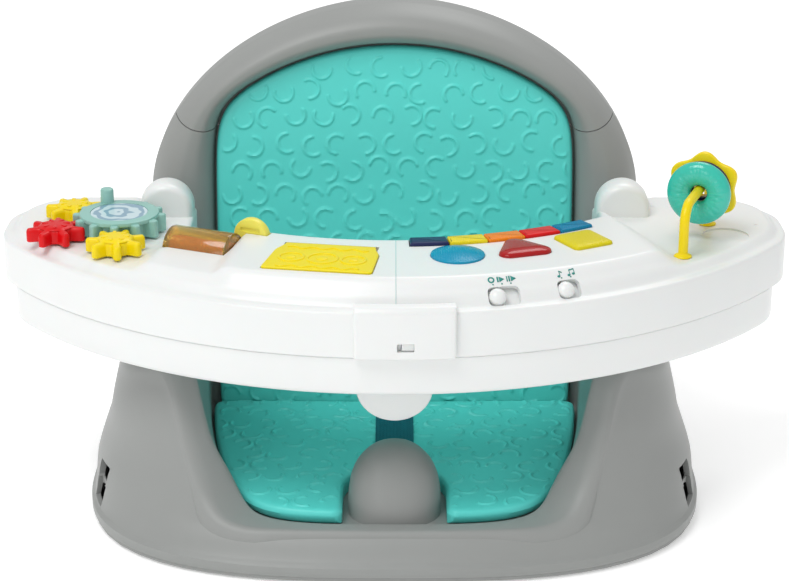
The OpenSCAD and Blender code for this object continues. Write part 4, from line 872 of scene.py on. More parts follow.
def tray_right():
    shell = join(toy_half("activity_tray_right", False, 0), ear(False, 0))
    shell = cut(shell, toy_half("inside", False, TRAY_T), ear(False, TRAY_T))
    return cut(shell, *right_holes(), *deck_dimples())


ROLLER_XY, ROLLER_TURN = (-137.8, -45.2), -24
FLAP_P, FLAP_IN, FLAP_D, FLAP_WR, FLAP_WF = -9.9, 258, 56, 64, 78
FLAP_AXIS_R, FLAP_PIN_Z = FLAP_IN + 3, BAR_Z - 2.6
WHEEL_P, WHEEL_DIST, WHEEL_W = -24.6, 246.5, 7
LARGE_XY = np.array([-203.0, -1.0])
SPINDLE_D, LABEL_R = 6, 21
GEAR_Z = DECK_Z + 1.5
SMALL_DIST = GEAR_M * (TEETH_LARGE + TEETH_SMALL) / 2 + 0.3
RED_A, REAR_A, FRONT_A, PEG_A, PEG_AT = 205, 141, 273.7, 116, 26.6


def on_roller():
    return shift(*ROLLER_XY, DECK_Z + 0.5) @ spin(ROLLER_TURN, "Z") @ spin(90, "Y")


def on_flap(z=0.0):
    return on_tray(FLAP_P, FLAP_AXIS_R, z)


def on_wheel():
    return on_tray(WHEEL_P, WHEEL_DIST, BAR_Z - 3) @ spin(90, "X")


def gear_site(a):
    return LARGE_XY + SMALL_DIST * unit(a)


def flap_outline(g):
    edge = [(FLAP_WR / 2, 3), (FLAP_WR / 2 + 1, -4), (FLAP_WF / 2 - 2, -14), (FLAP_WF / 2, 3 - FLAP_D)]
    corners = np.array([(-x, y) for x, y in edge[::-1]] + edge)
    return inset(round_corners(corners, 3.2, 7), -g)


def drum(r, l):
    return prism("drum", circle(r, 96), -l / 2, l / 2)


def tray_left():
    shell = join(toy_half("activity_tray_left", True, 0), ear(True, 0))
    shell = cut(shell, toy_half("inside", True, TRAY_T), ear(True, TRAY_T))
    wells = [moved(drum(ROLLER_R + 3.2, ROLLER_L + 9.6), on_roller())]
    wells.append(moved(drum(WHEEL_R + 3, WHEEL_W + 9.4), on_wheel()))
    shell = join(shell, *[solid(well, "INTERSECT", toy_half("skin", True, 1)) for well in wells])
    holes = [moved(drum(ROLLER_R + 0.8, ROLLER_L + 1.6), on_roller())]
    holes.append(moved(drum(WHEEL_R + 0.8, WHEEL_W + 1.4), on_wheel()))
    holes.append(drill(flap_outline(0.6), on_flap(BAR_Z - 1.4), 0, 10))
    holes.append(moved(drum(5.5, FLAP_WR + 4), on_flap(FLAP_PIN_Z) @ spin(90, "Y")))
    for xy in [LARGE_XY] + [gear_site(a) for a in (RED_A, REAR_A, FRONT_A)]:
        holes.append(drill(circle(SPINDLE_D / 2 + GAP), shift(*xy, DECK_Z - 10), 0, 20))
    return join(cut(shell, *holes), clip_plate())


CLIP_X0, CLIP_T = -27.5, 4.6


def clip_plate():
    """Plate over the middle joint: rounded at its ends and foot, lapped over the rim of the deck."""
    p0, p1 = [math.degrees(math.asin(x / TRAY_R)) for x in (CLIP_X0, CLIP_X0 + CLIP_W)]
    front = TRAY_R + CLIP_T
    face = [(TRAY_R + 0.4, SKIRT_Z), (front, SKIRT_Z), (front, DECK_Z - 4.2), (front - 3.4, DECK_Z - 0.9),
            (TRAY_R - 6.4, DECK_Z - 0.4), (TRAY_R - 6.2, DECK_Z - 4.6), (TRAY_R + 0.4, DECK_Z - 5.2)]
    face = round_corners(face, 1.6, 4)
    middle, edge = TRAY_R + 1.8, 2.2
    rings, width, ends = [], math.radians(p1 - p0) * TRAY_R, np.array([0, 0.25, 0.7, 1.4, 2.4])
    for t in np.concatenate([ends, np.linspace(4, width - 4, 30), width - ends[::-1]]):
        near = min(t, width - t)
        less = edge - math.sqrt(max(0, edge**2 - max(0, edge - near) ** 2))
        shape = face.copy()
        low = shape[:, 1] < SKIRT_Z + 8
        shape[low, 1] = np.maximum(shape[low, 1], SKIRT_Z + less * 1.3)
        shape[:, 0] = np.where(shape[:, 0] > middle, np.maximum(middle, shape[:, 0] - less), shape[:, 0])
        p = p0 + math.degrees(t / TRAY_R)
        rings.append([(*tray_pt(p, r), z) for r, z in shape])
    plate = loft("clip", rings, 40)
    low, high = (LATCH_X - 5.8, FRONT_Y - 10, LATCH_Z - 3), (LATCH_X + 5.8, FRONT_Y + 2, LATCH_Z + 3)
    root = arc_block(p0, 0, TRAY_R - 2, TRAY_R + 1, SKIRT_Z, DECK_Z - 8)
    return cut(join(plate, root), block("window", low, high))


def feed_solid(name, section, g):
    """Solid along the whole feeding tray; a negative distance counts from the inner edge."""
    pairs = [pair[:2] for pair in tray_pairs(TRAY_R - 1, TRAY_HW - FEED_INSET, 50, 33, 8, 0, 0)]
    whole = [(o * [-1, 1], q * [-1, 1]) for o, q in pairs[:0:-1]] + pairs
    rings = []
    for k, (o, q) in enumerate(whole):
        if k in (0, len(whole) - 1):
            o, q = o - [0, g], q - [0, g]
        l = np.linalg.norm(o - q)
        rings.append([(*mix(o, q, (d if d >= 0 else l + d) / l), FEED_Z + z) for d, z in section])
    return loft(name, rings, 30)


def feeding_tray():
    """Tray with its dish, hollow below, and the two lugs of the paddle's pin."""
    h = FEED_H
    outside = [(4.5, 0), (2.6, 0.25), (1.2, 1), (0.35, 2.2), (0, 3.8), (0, 0.5 * h), (0, h - 1), (0.8, h)]
    outside += [(-0.8, h), (-0.001, h - 1), (-0.001, 3.4), (-0.5, 1.6), (-1.6, 0.5), (-3.4, 0)]
    dish = [(10, 8), (8.2, 8.5), (7, 10), (5.5, h + 1), (-5.5, h + 1), (-7, 10), (-8.2, 8.5), (-10, 8)]
    under = [(8, -1), (8, 5), (-7, 5), (-7, -1)]
    tray = feed_solid("feeding_dish", outside, 0)
    tray = cut(tray, feed_solid("dish", dish, 6), feed_solid("under", under, 6))
    lugs = []
    for side in (-1, 1):
        x = side * (PADDLE_W / 2 + GAP + 2)
        outline = [4 * unit(a) for a in np.linspace(180, 360, 24)] + [(6, 4.5), (-6, 4.5)]
        lug = moved(loft("lug", [upright(outline, e) for e in (-2, 2)]), shift(x, PADDLE_Y, PADDLE_Z))
        lugs.append(cut(lug, moved(drum(1.6, 8), shift(x, PADDLE_Y, PADDLE_Z) @ spin(90, "Y"))))
    return join(tray, *lugs)


PADDLE_Y, PADDLE_Z, PADDLE_W, PADDLE_R = -115, FEED_Z + 1.5, 42, 27


def paddle():
    """Half-round release tongue with a rounded edge."""
    a = np.linspace(math.pi, TURN, 49)
    z = FEED_Z - 8.5
    low = np.stack([PADDLE_R * np.cos(a), z - 2 + (PADDLE_R - 2) * np.sin(a)], 1)
    side = np.array([[PADDLE_R, z - 0.5], [PADDLE_W / 2, z + 0.5], [PADDLE_W / 2, FEED_Z]])
    outline = np.concatenate([low, side, side[::-1] * [-1, 1]])
    edges = ((-2.5, 1.1), (-2.2, 0.5), (-1.4, 0), (1.4, 0), (2.2, 0.5), (2.5, 1.1))
    tongue = loft("paddle_tongue", [facing(inset(outline, d), PADDLE_Y + y) for y, d in edges], 50)
    place = shift(0, PADDLE_Y, PADDLE_Z) @ spin(90, "Y")
    tongue = join(tongue, moved(prism("eye", circle(3.2, 48), -PADDLE_W / 2, PADDLE_W / 2), place))
    return cut(tongue, moved(prism("bore", circle(1.55, 32), -30, 30), place))


# ---- Gears --------------------------------------------------------------------------------

TIP, ROOT = 0.78, 0.95
TOOTH = [(-0.5, -ROOT), (-0.335, -ROOT), (-0.215, -0.25), (-0.165, 0.35), (-0.105, 0.7), (-0.04, TIP)]
TOOTH += [(-q, h) for q, h in TOOTH[::-1]]


def gear_outline(n, turn):
    """Outline of a gear with n lobes, turned by that many degrees."""
    q = np.linspace(-0.5, 0.5, 29)[:-1]
    r = GEAR_M * n / 2 + GEAR_M * flow(q, TOOTH)
    a = np.concatenate([(k + q) * TURN / n for k in range(n)]) + math.radians(turn)
    r = np.tile(r, n)
    return np.stack([r * np.cos(a), r * np.sin(a)], 1)


def gear(name, n, turn, rings, xy):
    """Gear through rings of (inset, share of roundness, height), and its place; its callers cut the bore from
    below.
    """
    outline, made = gear_outline(n, turn), []
    for d, roundness, z in rings:
        edge = inset(outline, min(d, 1.4))
        radius = np.linalg.norm(edge, axis=1)[:, None]
        target = GEAR_M * n / 2 - d
        edge = mix(edge, edge / radius * target, roundness)
        made.append(np.column_stack([edge, np.full(len(edge), z)]))
    body = loft(name, made, 40)
    return body, shift(*xy, GEAR_Z)


def mesh_turn(a):
    return a + 180 + 180 / TEETH_SMALL + a * TEETH_LARGE / TEETH_SMALL


def small_gear(name, a):
    rim = GEAR_M * (TEETH_SMALL / 2 - ROOT) - 0.1
    r = GEAR_M * TEETH_SMALL / 2
    top = SMALL_H - 2.5
    rings = [(0.5, 0, 0), (0, 0, 0.5), (0, 0, top - 2.2), (0.25, 0, top - 1.1), (0.8, 0, top - 0.2)]
    rings += [(1.4, 0, top + 0.3), (r - rim + 0.1, 0.9, top + 0.6), (r - rim + 1.2, 1, top + 1.5)]
    rings += [(r - rim + 3, 1, SMALL_H - 0.4)]
    rings += [(r - rim + 6, 1, SMALL_H), (r - 1, 1, SMALL_H)]
    body, place = gear(name, TEETH_SMALL, mesh_turn(a), rings, gear_site(a))
    ribs = []
    for k in range(TEETH_SMALL):
        outline = round_corners([(5.5, -0.9), (rim - 2.6, -1.5), (rim - 2.6, 1.5), (5.5, 0.9)], 0.8, 3)
        spoke = rounded_slab("spoke", outline, SMALL_H - 1.5, SMALL_H + 0.35, 0.5)
        ribs.append(moved(spoke, spin(mesh_turn(a) + 360 * (k + 0.5) / TEETH_SMALL, "Z")))
    body = cut(join(body, *ribs), prism("bore", circle(SPINDLE_D / 2 + RUN, 40), -1, SMALL_H - 3))
    return moved(body, place)


def large_gear():
    r = GEAR_M * TEETH_LARGE / 2
    top = LARGE_H - 2
    rings = [(0.5, 0, 0), (0, 0, 0.5), (0, 0, top - 1.5)]
    rings += [(0.2, 0, top - 0.7), (0.7, 0, top - 0.2), (1.3, 0, top)]
    body, place = gear("large_gear", TEETH_LARGE, 0, rings, LARGE_XY)
    disc = [(r - d, LARGE_H - z) for d, z in ((1.6, 4), (1, 3.4), (1, 1.6), (1.3, 0.9), (2, 0.6))]
    disc = turned("disc", disc, 120)
    peg_top = LARGE_H + 10
    peg = [(4.85, peg_top - 1.4), (4.5, peg_top - 0.5), (3.8, peg_top - 0.1), (2.5, peg_top), (0.5, peg_top)]
    peg = turned("peg", [(5, LARGE_H - 3.5), (5, LARGE_H)] + peg, 60)
    body = join(body, disc, moved(peg, spin(PEG_A, "Z") @ shift(PEG_AT, 0, 0)))
    bore = prism("bore", circle(SPINDLE_D / 2 + RUN, 40), -1, LARGE_H - 4)
    body = cut(body, bore, prism("seat", circle(LABEL_R + GAP, 96), LARGE_H - 1.4, LARGE_H + 3))
    return moved(body, place)


def gear_label():
    low, top = LARGE_H - 1.4, LARGE_H - 0.8
    profile = [(LABEL_R, low), (LABEL_R, top - 0.15), (LABEL_R - 0.2, top), (10, top), (0.3, top)]
    return moved(turned("gear_disc", profile, 96), shift(*LARGE_XY, GEAR_Z))


# ---- Roller, flap, wheel ------------------------------------------------------------------


CORE_BORE = 2.05


def roller_shell():
    """Hollow tube with closed ends."""
    r, l = ROLLER_R, ROLLER_L / 2
    half = np.array([(r, l - 1), (r - 0.3, l - 0.3), (r - 1, l), (CORE_BORE, l)])
    inside = [(CORE_BORE, l - 2), (r - 2, l - 2), (r - 2, 2 - l), (CORE_BORE, 2 - l)]
    section = np.concatenate([half[::-1] * [1, -1], half, inside])
    return moved(hoop("roller_tube", section, 128), on_roller())


def roller_core():
    """Spindle-shaped core, thicker in the middle, with fine turns."""
    l, rings = ROLLER_L / 2 - 2 - GAP, []
    for t in np.linspace(-1, 1, 65):
        r = 9 - 0.35 * (0.5 + 0.5 * math.cos(TURN * 9 * t)) - 0.8 * abs(t) ** 6
        rings.append((r, t * l))
    core = turned("roller_drum", rings, 72)
    return moved(cut(core, prism("bore", circle(CORE_BORE, 32), -40, 40)), on_roller())


def flap():
    """Picture flap: rounded plate with a plain raised design of rings, a wave and dots."""
    low = BAR_Z - 0.2 - 0.9
    top = low + FLAP_T
    outline = flap_outline(0)
    outline[:, 1] = np.minimum(outline[:, 1], 1.1)
    page = rounded_slab("flap_plate", outline, low, top, 0.9, 0.3, 50)
    made = [moved(drum(2, FLAP_WR), shift(0, 0, FLAP_PIN_Z) @ spin(90, "Y"))]
    for x, y, r in ((-22, -30, 8.5), (0, -30, 10.5), (22, -30, 8.5)):
        ring = hoop("ring", [(r + 1.1 * math.cos(t), 0.85 * math.sin(t)) for t in around(12)], 64)
        made.append(moved(ring, shift(x, y, top)))
        dome = turned("dome", [(r * 0.42, -0.3), (r * 0.38, 0.35), (r * 0.24, 0.75), (0.3, 0.85)], 36)
        made.append(moved(dome, shift(x, y, top)))
    for y, sign in ((-9.5, 1), (-49, -1)):
        x = np.linspace(-29, 29, 90)
        path = np.stack([x, y + sign * 1.8 * np.sin(x * TURN / 14.5), 0 * x + top], 1)
        made.append(sweep("wave", path, circle(0.85, 10)))
    page = join(page, *made)
    return moved(cut(page, moved(drum(0.95, 80), shift(0, 0, FLAP_PIN_Z) @ spin(90, "Y"))), on_flap())


def click_wheel():
    """Thumb wheel with two grooves across its side."""
    r, w = WHEEL_R, WHEEL_W / 2
    half = np.array([(r, w - 1.2), (r - 0.4, w - 0.4), (r - 1.2, w), (0.4, w)])
    body = turned("thumb_wheel", np.concatenate([half[::-1] * [1, -1], half]), 96)
    bar = round_corners(rectangle(8, 1.7), 1.6, 5)
    grooves = [moved(prism("groove", bar, w - 1.2, w + 3), shift(0, y, 0)) for y in (-5.4, 5.4)]
    return moved(cut(body, prism("bore", circle(1.55, 32), -9, 9), *grooves), on_wheel())


# ---- Keys, buttons, knobs -----------------------------------------------------------------

KEY_RADIUS = (KEY_IN + KEY_OUT) / 2
KEY_CAP, BUTTON_CAP = 2.4, 3.2


def key(k, colour_name):
    """Wedge-shaped cap of key k, counted from the middle of the tray."""
    wi = (KEY_IN + 1) * math.tan(math.radians(KEY_PITCH / 2)) - 0.3
    wo = (KEY_OUT - 1) * math.tan(math.radians(KEY_PITCH / 2)) - 0.3
    hi = KEY_RADIUS - KEY_IN - GAP - 0.05
    ho = math.sqrt((KEY_OUT - GAP - 0.05) ** 2 - wo * wo) - KEY_RADIUS
    outline = round_corners([(-wi, hi), (wi, hi), (wo, -ho), (-wo, -ho)][::-1], 1.2, 5)
    cap = rounded_slab("key_cap_" + colour_name, outline, -3.8, KEY_CAP, 1.5, 0.2, 50)
    return moved(cap, on_tray(KEY_P0 + k * KEY_PITCH, KEY_RADIUS, BAR_Z))


# Crowns of the buttons: inset from the outline and rise above the straight side.
ROUND_DOME = 62.8
TRIANGLE_TOP = [(0.15, 0.3), (0.6, 0.8), (1.3, 1.25), (2.4, 1.6), (4, 2), (6, 2.35), (9, 2.6), (11.5, 2.7)]
SQUARE_TOP = [(0.15, 0.3), (0.6, 0.75), (1.3, 1.1), (2.4, 1.45), (4, 1.75), (7, 1.95), (10, 2), (14, 2)]


def round_top():
    """Part of a large sphere, over a small rolled edge."""
    r = ROUND_D / 2
    foot = math.sqrt(ROUND_DOME**2 - r**2)
    rise = [(d, math.sqrt(ROUND_DOME**2 - (r - d) ** 2) - foot) for d in np.linspace(1.6, r - 0.4, 12)]
    return [(0.15, 0.05), (0.5, 0.22)] + rise


def button(name, outline, crown, p):
    """Cap with a rounded crown on a straight side."""
    under, side = BAR_Z - TRAY_T - GAP - 0.2, BAR_Z + BUTTON_CAP - 2
    rings = [(0, under), (0, side - 0.3)] + [(d, side + z) for d, z in crown]
    centre = outline.mean(0)
    made = []
    for d, z in rings:
        reach = lengths(outline - centre)[:, None]
        edge = centre + (outline - centre) * (1 - d / reach) if d > 1.5 else inset(outline, d)
        made.append(at_height(edge, z))
    return moved(loft(name, made, 50), on_tray(p, BUTTON_R, 0))


def knob(name, p, travel):
    """Domed knob on its stem, in the window of the slope."""
    profile = [(KNOB_D / 2 - 0.4, -6.8), (KNOB_D / 2, -6.2)]
    heights = np.concatenate([[0], np.linspace(0.3, 3.19, 10)])
    profile += [(math.sqrt(max(0.04, 7.2**2 - (z + 4) ** 2)), z) for z in heights]
    profile = [(min(r, KNOB_D / 2), z) for r, z in profile]
    place = on_slope(p) @ shift(-travel / 2, 0, 0)
    return moved(turned(name, profile, 64, 60), place)


def knob_plate(name, p, l, travel):
    """Plate under the slope that closes the window at any place of the knob."""
    x, y = (l + travel + 3) / 2, WINDOW_W / 2 + 1
    z = -TRAY_T * (math.sin(math.radians(SLOPE_TILT)) + math.cos(math.radians(SLOPE_TILT))) - GAP - 2
    plate = block(name, (-x, -y, z), (x, y, z + 1.4))
    return moved(plate, on_slope(p) @ shift(-travel / 2, 0, 0))


# ---- Icons --------------------------------------------------------------------------------


def icon(name, shapes, place, tray):
    """Thin print laid on the tray: shapes are closed outlines (with a hole where a pair is given)."""
    graph = bpy.context.evaluated_depsgraph_get()
    tree = BVHTree.FromObject(tray, graph)
    look = (place.to_3x3() @ Vector((0, 0, -1))).normalized()
    points, faces = [], []

    def drop(x, y):
        start = (place @ Vector((x, y, 6))) * MM
        hit = tree.ray_cast(start, look)[0]
        return np.array((hit if hit is not None else place @ Vector((x, y, 0)) * MM) - look * 0.0002) / MM

    for outer, inner in shapes:
        rows = [np.array(row, float) for row in (outer, inner) if row is not None]
        base, n = len(points), len(rows[0])
        for row in rows:
            points += [drop(x, y) for x, y in row]
        if inner is not None:
            faces += [[base + i, base + (i + 1) % n, base + n + (i + 1) % n, base + n + i] for i in range(n)]
        else:
            faces.append(list(range(base, base + n)))
    flat = make_mesh(name, points, faces)
    thick = flat.modifiers.new("ink", "SOLIDIFY")
    thick.thickness, thick.offset = 0.00012, 0
    return flat


def switch_icons(tray):
    """Off ring, play, double play over the power knob; one note and two notes over the melody knob."""
    triangle = np.array([(-1.6, -2.2), (2.1, 0), (-1.6, 2.2)])
    bar = np.array([(-0.55, -2.1), (0.55, -2.1), (0.55, 2.1), (-0.55, 2.1)])
    y, dot_y = 12.4, 8.9
    power = [tuple(circle(r, 32) + [-7.3, y] for r in (2.35, 1.35))]
    parts = ((triangle, -0.1), (bar, -2.7), (triangle, 8.2), (bar, 5.5), (bar * [0.7, 1], 3.9))
    power += [(outline + [x, y], None) for outline, x in parts]
    power += [(circle(0.55, 14) + [x, dot_y], None) for x in (-6.5, -0.2, 6.1)]
    head = circle(1, 20) * [1.15, 0.85]
    stem = np.array([(0.65, 0), (1.15, 0), (1.15, 4.2), (0.65, 4.2)])
    flag = np.array([(1.15, 4.2), (2.9, 3.0), (2.7, 2.2), (1.15, 3.1)])
    beam = np.array([(0.65, 4.2), (0.65, 3.3), (4.65, 4.0), (4.65, 4.9)])
    low = y - 2.2
    parts = [(outline, -4.9, 0) for outline in (head, stem, flag)]
    parts += [(head, 2.7, 0), (stem, 2.7, 0), (head, 6.2, 0.7), (stem, 6.2, 0.7), (beam, 2.7, 0)]
    melody = [(outline + [x, low + up], None) for outline, x, up in parts]
    melody += [(circle(0.5, 14) + [x, dot_y - 0.1], None) for x in (-3.3, 3.6)]
    marks = (("power_marks", power, POWER_P), ("melody_marks", melody, MELODY_P))
    return [icon(name, shapes, on_slope(p), tray) for name, shapes, p in marks]


# ---- Ring bar and rings -------------------------------------------------------------------

BAR_SPAN = float(np.linalg.norm(BAR_FOOT_B - BAR_FOOT_A))
BAR_TURN = math.degrees(math.atan2(*(BAR_FOOT_B - BAR_FOOT_A)[::-1]))
BEND_R, HOLE_R, TEAL_X = 14, 6, 44
RING_Z = BAR_TOP - (HOLE_R - BAR_D / 2 - GAP)


def on_bar(x=0.0, z=0.0):
    return shift(*BAR_FOOT_A, 0) @ spin(BAR_TURN, "Z") @ shift(x, 0, z)


def ring_bar():
    """Bar with two bends and a collar at each foot."""
    a = np.linspace(0, math.pi / 2, 15)
    rise = [(0, 0, z) for z in np.linspace(DECK_Z - 6, BAR_TOP - BEND_R, 8)]
    bend = [(BEND_R * (1 - math.cos(t)), 0, BAR_TOP - BEND_R + BEND_R * math.sin(t)) for t in a[1:]]
    back = [(BAR_SPAN - x, 0, z) for x, _, z in (rise + bend)[::-1]]
    level = [(mix(BEND_R, BAR_SPAN - BEND_R, t), 0, BAR_TOP) for t in (0.25, 0.5, 0.75)]
    bar = sweep("ring_hoop", rise + bend + level + back, circle(BAR_D / 2, 32))
    collars = []
    for x in (0, BAR_SPAN):
        profile = [(COLLAR_D / 2 - d, DECK_Z + z) for d, z in ((0.3, 0.1), (0, 0.5), (0.2, 1.1), (0.9, 1.7))]
        profile += [(4.6, DECK_Z + 2.1), (3.4, DECK_Z + 3.2)]
        collars.append(moved(turned("collar", profile, 48), shift(x, 0, 0)))
    return moved(join(bar, *collars), on_bar())


def teal_ring():
    """Thick ring with fine radial grooves on both faces."""
    tube = (RING_D / 2 - HOLE_R) / 2
    t, rings = around(48), []
    for a in around(192):
        dent = 0.28 * smooth(2.2 * math.cos(8 * a) - 1.2) + 0.12 * smooth(math.cos(24 * a))
        width = 0.72 * tube - dent * np.abs(np.sin(t)) ** 1.5
        x, z = HOLE_R + tube + tube * np.cos(t), width * np.sin(t)
        rings.append(np.stack([x * math.cos(a), x * math.sin(a), z], 1))
    return moved(closed_loft("teal_hoop", rings, 60), on_bar(TEAL_X, RING_Z) @ spin(90, "Y"))


def navy_ring():
    section = [(HOLE_R, 0.5), (HOLE_R + 0.5, 0), (20.4, 0), (21, 0.6)]
    section += [(r, 3 - z) for r, z in section[::-1]]
    return moved(hoop("navy_disc", section, 96), on_bar(TEAL_X + 9, RING_Z) @ spin(90, "Y"))


def star_ring():
    outline = circle(1, 240) * (25 + 2 * np.cos(6 * around(240)))[:, None]
    body = rounded_slab("wavy_disc", outline, 0, 6, 1.8, 1.8, 50)
    body = cut(body, prism("bore", circle(HOLE_R, 64), -1, 8))
    return moved(body, on_bar(TEAL_X + 12.4, RING_Z) @ spin(90, "Y"))


# ---- Materials ----------------------------------------------------------------------------


def colour(code):
    """sRGB hex to the linear colour that the shader takes."""
    parts = [int(code[i : i + 2], 16) / 255 for i in (1, 3, 5)]
    return [v / 12.92 if v <= 0.04045 else ((v + 0.055) / 1.055) ** 2.4 for v in parts] + [1.0]


def add_node(tree, kind, settings=None, links=None):
    """Adds a node with its settings and the sockets that feed it."""
    node = tree.nodes.new("ShaderNode" + kind)
    for name, value in (settings or {}).items():
        if isinstance(name, int) or name in node.inputs:
            node.inputs[name].default_value = value
        else:
            setattr(node, name, value)
    for name, source in (links or {}).items():
        tree.links.new(source, node.inputs[name])
    return node


def new_material(name, settings):
    """Material with those sockets set; also its tree, its shader and the places on the piece."""
    material = bpy.data.materials.new(name)
    material.use_nodes = True
    tree = material.node_tree
    shader = tree.nodes["Principled BSDF"]
    for socket, value in settings.items():
        shader.inputs[socket].default_value = value
    return material, tree, shader, add_node(tree, "TexCoord").outputs["Object"]


def plastic(name, roughness, settings):
    """Base of a plastic; a setting's underscores stand for the spaces of its socket's name."""
    sockets = {k.replace("_", " "): v for k, v in settings.items()}
    return new_material(name, {"Roughness": roughness, "IOR": 1.53, **sockets})


def cloudy(tree, shader, code, other, size_mm, where):
    """Base colour that drifts between two close tones over patches of that size."""
    cloud = add_node(tree, "TexNoise", {"Scale": 1000 / size_mm, "Detail": 3.0}, {"Vector": where})
    tone = add_node(tree, "Mix", {"data_type": "RGBA"}, {"Factor": cloud.outputs["Fac"]})
    tone.inputs[6].default_value, tone.inputs[7].default_value = colour(code), colour(other)
    tree.links.new(tone.outputs[2], shader.inputs["Base Color"])


def bumpy(tree, shader, height, strength, depth_mm):
    """Bump of that depth from a height between 0 and 1."""
    bump = add_node(tree, "Bump", {"Strength": strength, "Distance": depth_mm * MM}, {"Height": height})
    tree.links.new(bump.outputs["Normal"], shader.inputs["Normal"])


def grained(tree, shader, size_mm, depth_mm, where, strength=0.5):
    """Fine moulded grain of that size and depth."""
    noise = {"Scale": 1000 / size_mm, "Detail": 2.0, "Roughness": 0.6}
    grain = add_node(tree, "TexNoise", noise, {"Vector": where})
    bumpy(tree, shader, grain.outputs["Fac"], strength, depth_mm)


def moulded(name, code, other, roughness, grain=(0.9, 0.012), **settings):
    """Injection-moulded plastic: two close tones, and the skin that the mould left."""
    material, tree, shader, where = plastic(name, roughness, settings)
    cloudy(tree, shader, code, other, 70, where)
    grained(tree, shader, grain[0], grain[1], where)
    return material


def dotted(name, code, other, roughness, pitch_mm, **settings):
    """Moulded plastic with a grid of fine raised dots."""
    material, tree, shader, where = plastic(name, roughness, settings)
    cloudy(tree, shader, code, other, 40, where)
    cells = {"voronoi_dimensions": "2D", "Scale": 1000 / pitch_mm, "Randomness": 0.0}
    cells = add_node(tree, "TexVoronoi", cells, {"Vector": where})
    slope = {"From Min": 0.25, "From Max": 0.45, "To Min": 1.0, "To Max": 0.0}
    rise = add_node(tree, "MapRange", slope, {"Value": cells.outputs["Distance"]})
    bumpy(tree, shader, rise.outputs["Result"], 0.7, 0.25)
    return material


def brushed_steel(name):
    """Zinc-plated steel: streaks round the part from the plating and turning."""
    zinc = {"Metallic": 1.0, "Roughness": 0.32, "Base Color": colour("#C3C6CA")}
    material, tree, shader, where = new_material(name, zinc)
    stretch = add_node(tree, "Mapping", {"Scale": (1.0, 1.0, 14.0)}, {"Vector": where})
    stretched = {"Vector": stretch.outputs["Vector"]}
    streak = add_node(tree, "TexNoise", {"Scale": 700.0, "Detail": 2.0}, stretched)
    rough = add_node(tree, "MapRange", {"To Min": 0.24, "To Max": 0.42}, {"Value": streak.outputs["Fac"]})
    tree.links.new(rough.outputs["Result"], shader.inputs["Roughness"])
    return material


def eva_foam(name, code, other):
    """Moulded closed-cell foam: satin skin with a fine pebble, softly rough."""
    skin = {"Roughness": 0.38, "IOR": 1.48, "Specular IOR Level": 0.4}
    material, tree, shader, where = new_material(name, skin)
    cloudy(tree, shader, code, other, 55, where)
    grained(tree, shader, 0.9, 0.05, where, 0.55)
    return material


def woven_strap(name):
    """Polyester webbing: ribs across and fine threads along, dull."""
    cloth = {"Roughness": 0.8, "Specular IOR Level": 0.2, "Sheen Weight": 0.08, "Sheen Roughness": 0.45}
    material, tree, shader, where = new_material(name, cloth)
    cloudy(tree, shader, "#06606C", "#0A6C78", 6, where)
    waves = []
    for way, scale, bent in (("X", 120.0, 0.6), ("Y", 84.0, 0.3)):
        bands = {"wave_type": "BANDS", "bands_direction": way, "Scale": scale, "Distortion": bent}
        waves.append(add_node(tree, "TexWave", bands, {"Vector": where}).outputs["Fac"])
    both = add_node(tree, "Math", {"operation": "MULTIPLY"}, dict(enumerate(waves)))
    bumpy(tree, shader, both.outputs["Value"], 0.8, 0.3)
    return material


def printed_ripples(name):
    """Printed disc: plain ripples in pale blues under a gloss film."""
    film = {"Roughness": 0.25, "Coat Weight": 0.4, "Coat Roughness": 0.1}
    material, tree, shader, where = new_material(name, film)
    middle = (-LARGE_XY[0] * MM, -LARGE_XY[1] * MM, 0.0)
    centre = add_node(tree, "Mapping", {"Location": middle}, {"Vector": where})
    ripples = {"wave_type": "RINGS", "rings_direction": "Z", "Scale": 38.0, "Distortion": 9.0}
    rings = add_node(tree, "TexWave", {**ripples, "Detail": 2.0, "Detail Scale": 1.2},
                     {"Vector": centre.outputs["Vector"]})
    ramp = add_node(tree, "ValToRGB", None, {"Fac": rings.outputs["Fac"]})
    stops = ramp.color_ramp.elements
    stops[0].color, stops[1].color = colour("#7FA3B8"), colour("#C6DCE2")
    stops[0].position, stops[1].position = 0.28, 0.62
    stops.new(0.45).color = colour("#A3C4CE")
    tree.links.new(ramp.outputs["Color"], shader.inputs["Base Color"])
    return material


def clear_amber(name):
    """Tinted clear styrene tube."""
    glass = {"Roughness": 0.12, "IOR": 1.55, "Transmission Weight": 0.85}
    material, tree, shader, where = new_material(name, glass)
    cloudy(tree, shader, "#FFDE7C", "#FBD268", 60, where)
    grained(tree, shader, 3.0, 0.02, where, 0.3)
    return material


white_abs = moulded("white_abs", "#EAECEB", "#E6E8E7", 0.3, Subsurface_Weight=0.06, Subsurface_Scale=0.004)
grey_pp = moulded("grey_polypropylene", "#979997", "#919391", 0.42, (0.7, 0.03), Specular_IOR_Level=0.35)
yellow_abs = moulded("yellow_abs", "#F2DA00", "#EED200", 0.32,
                     Specular_IOR_Level=0.3, Subsurface_Weight=0.08, Subsurface_Scale=0.003)
soft_yellow = moulded("soft_yellow_abs", "#F0DC14", "#ECD60A", 0.34,
                      Specular_IOR_Level=0.3, Subsurface_Weight=0.1, Subsurface_Scale=0.003)
pale_yellow = moulded("pale_yellow_abs", "#F0E868", "#EDE358", 0.33,
                      Subsurface_Weight=0.1, Subsurface_Scale=0.003)
red_abs = moulded("red_abs", "#DC0C14", "#D2060E", 0.32, Specular_IOR_Level=0.25)
clear_red = moulded("clear_red_styrene", "#B80C10", "#A8080C", 0.12, (1.5, 0.01),
                    Specular_IOR_Level=0.35, Transmission_Weight=0.1)
orange_abs = dotted("orange_abs", "#F58C1A", "#F08212", 0.32, 1.6, Specular_IOR_Level=0.3)
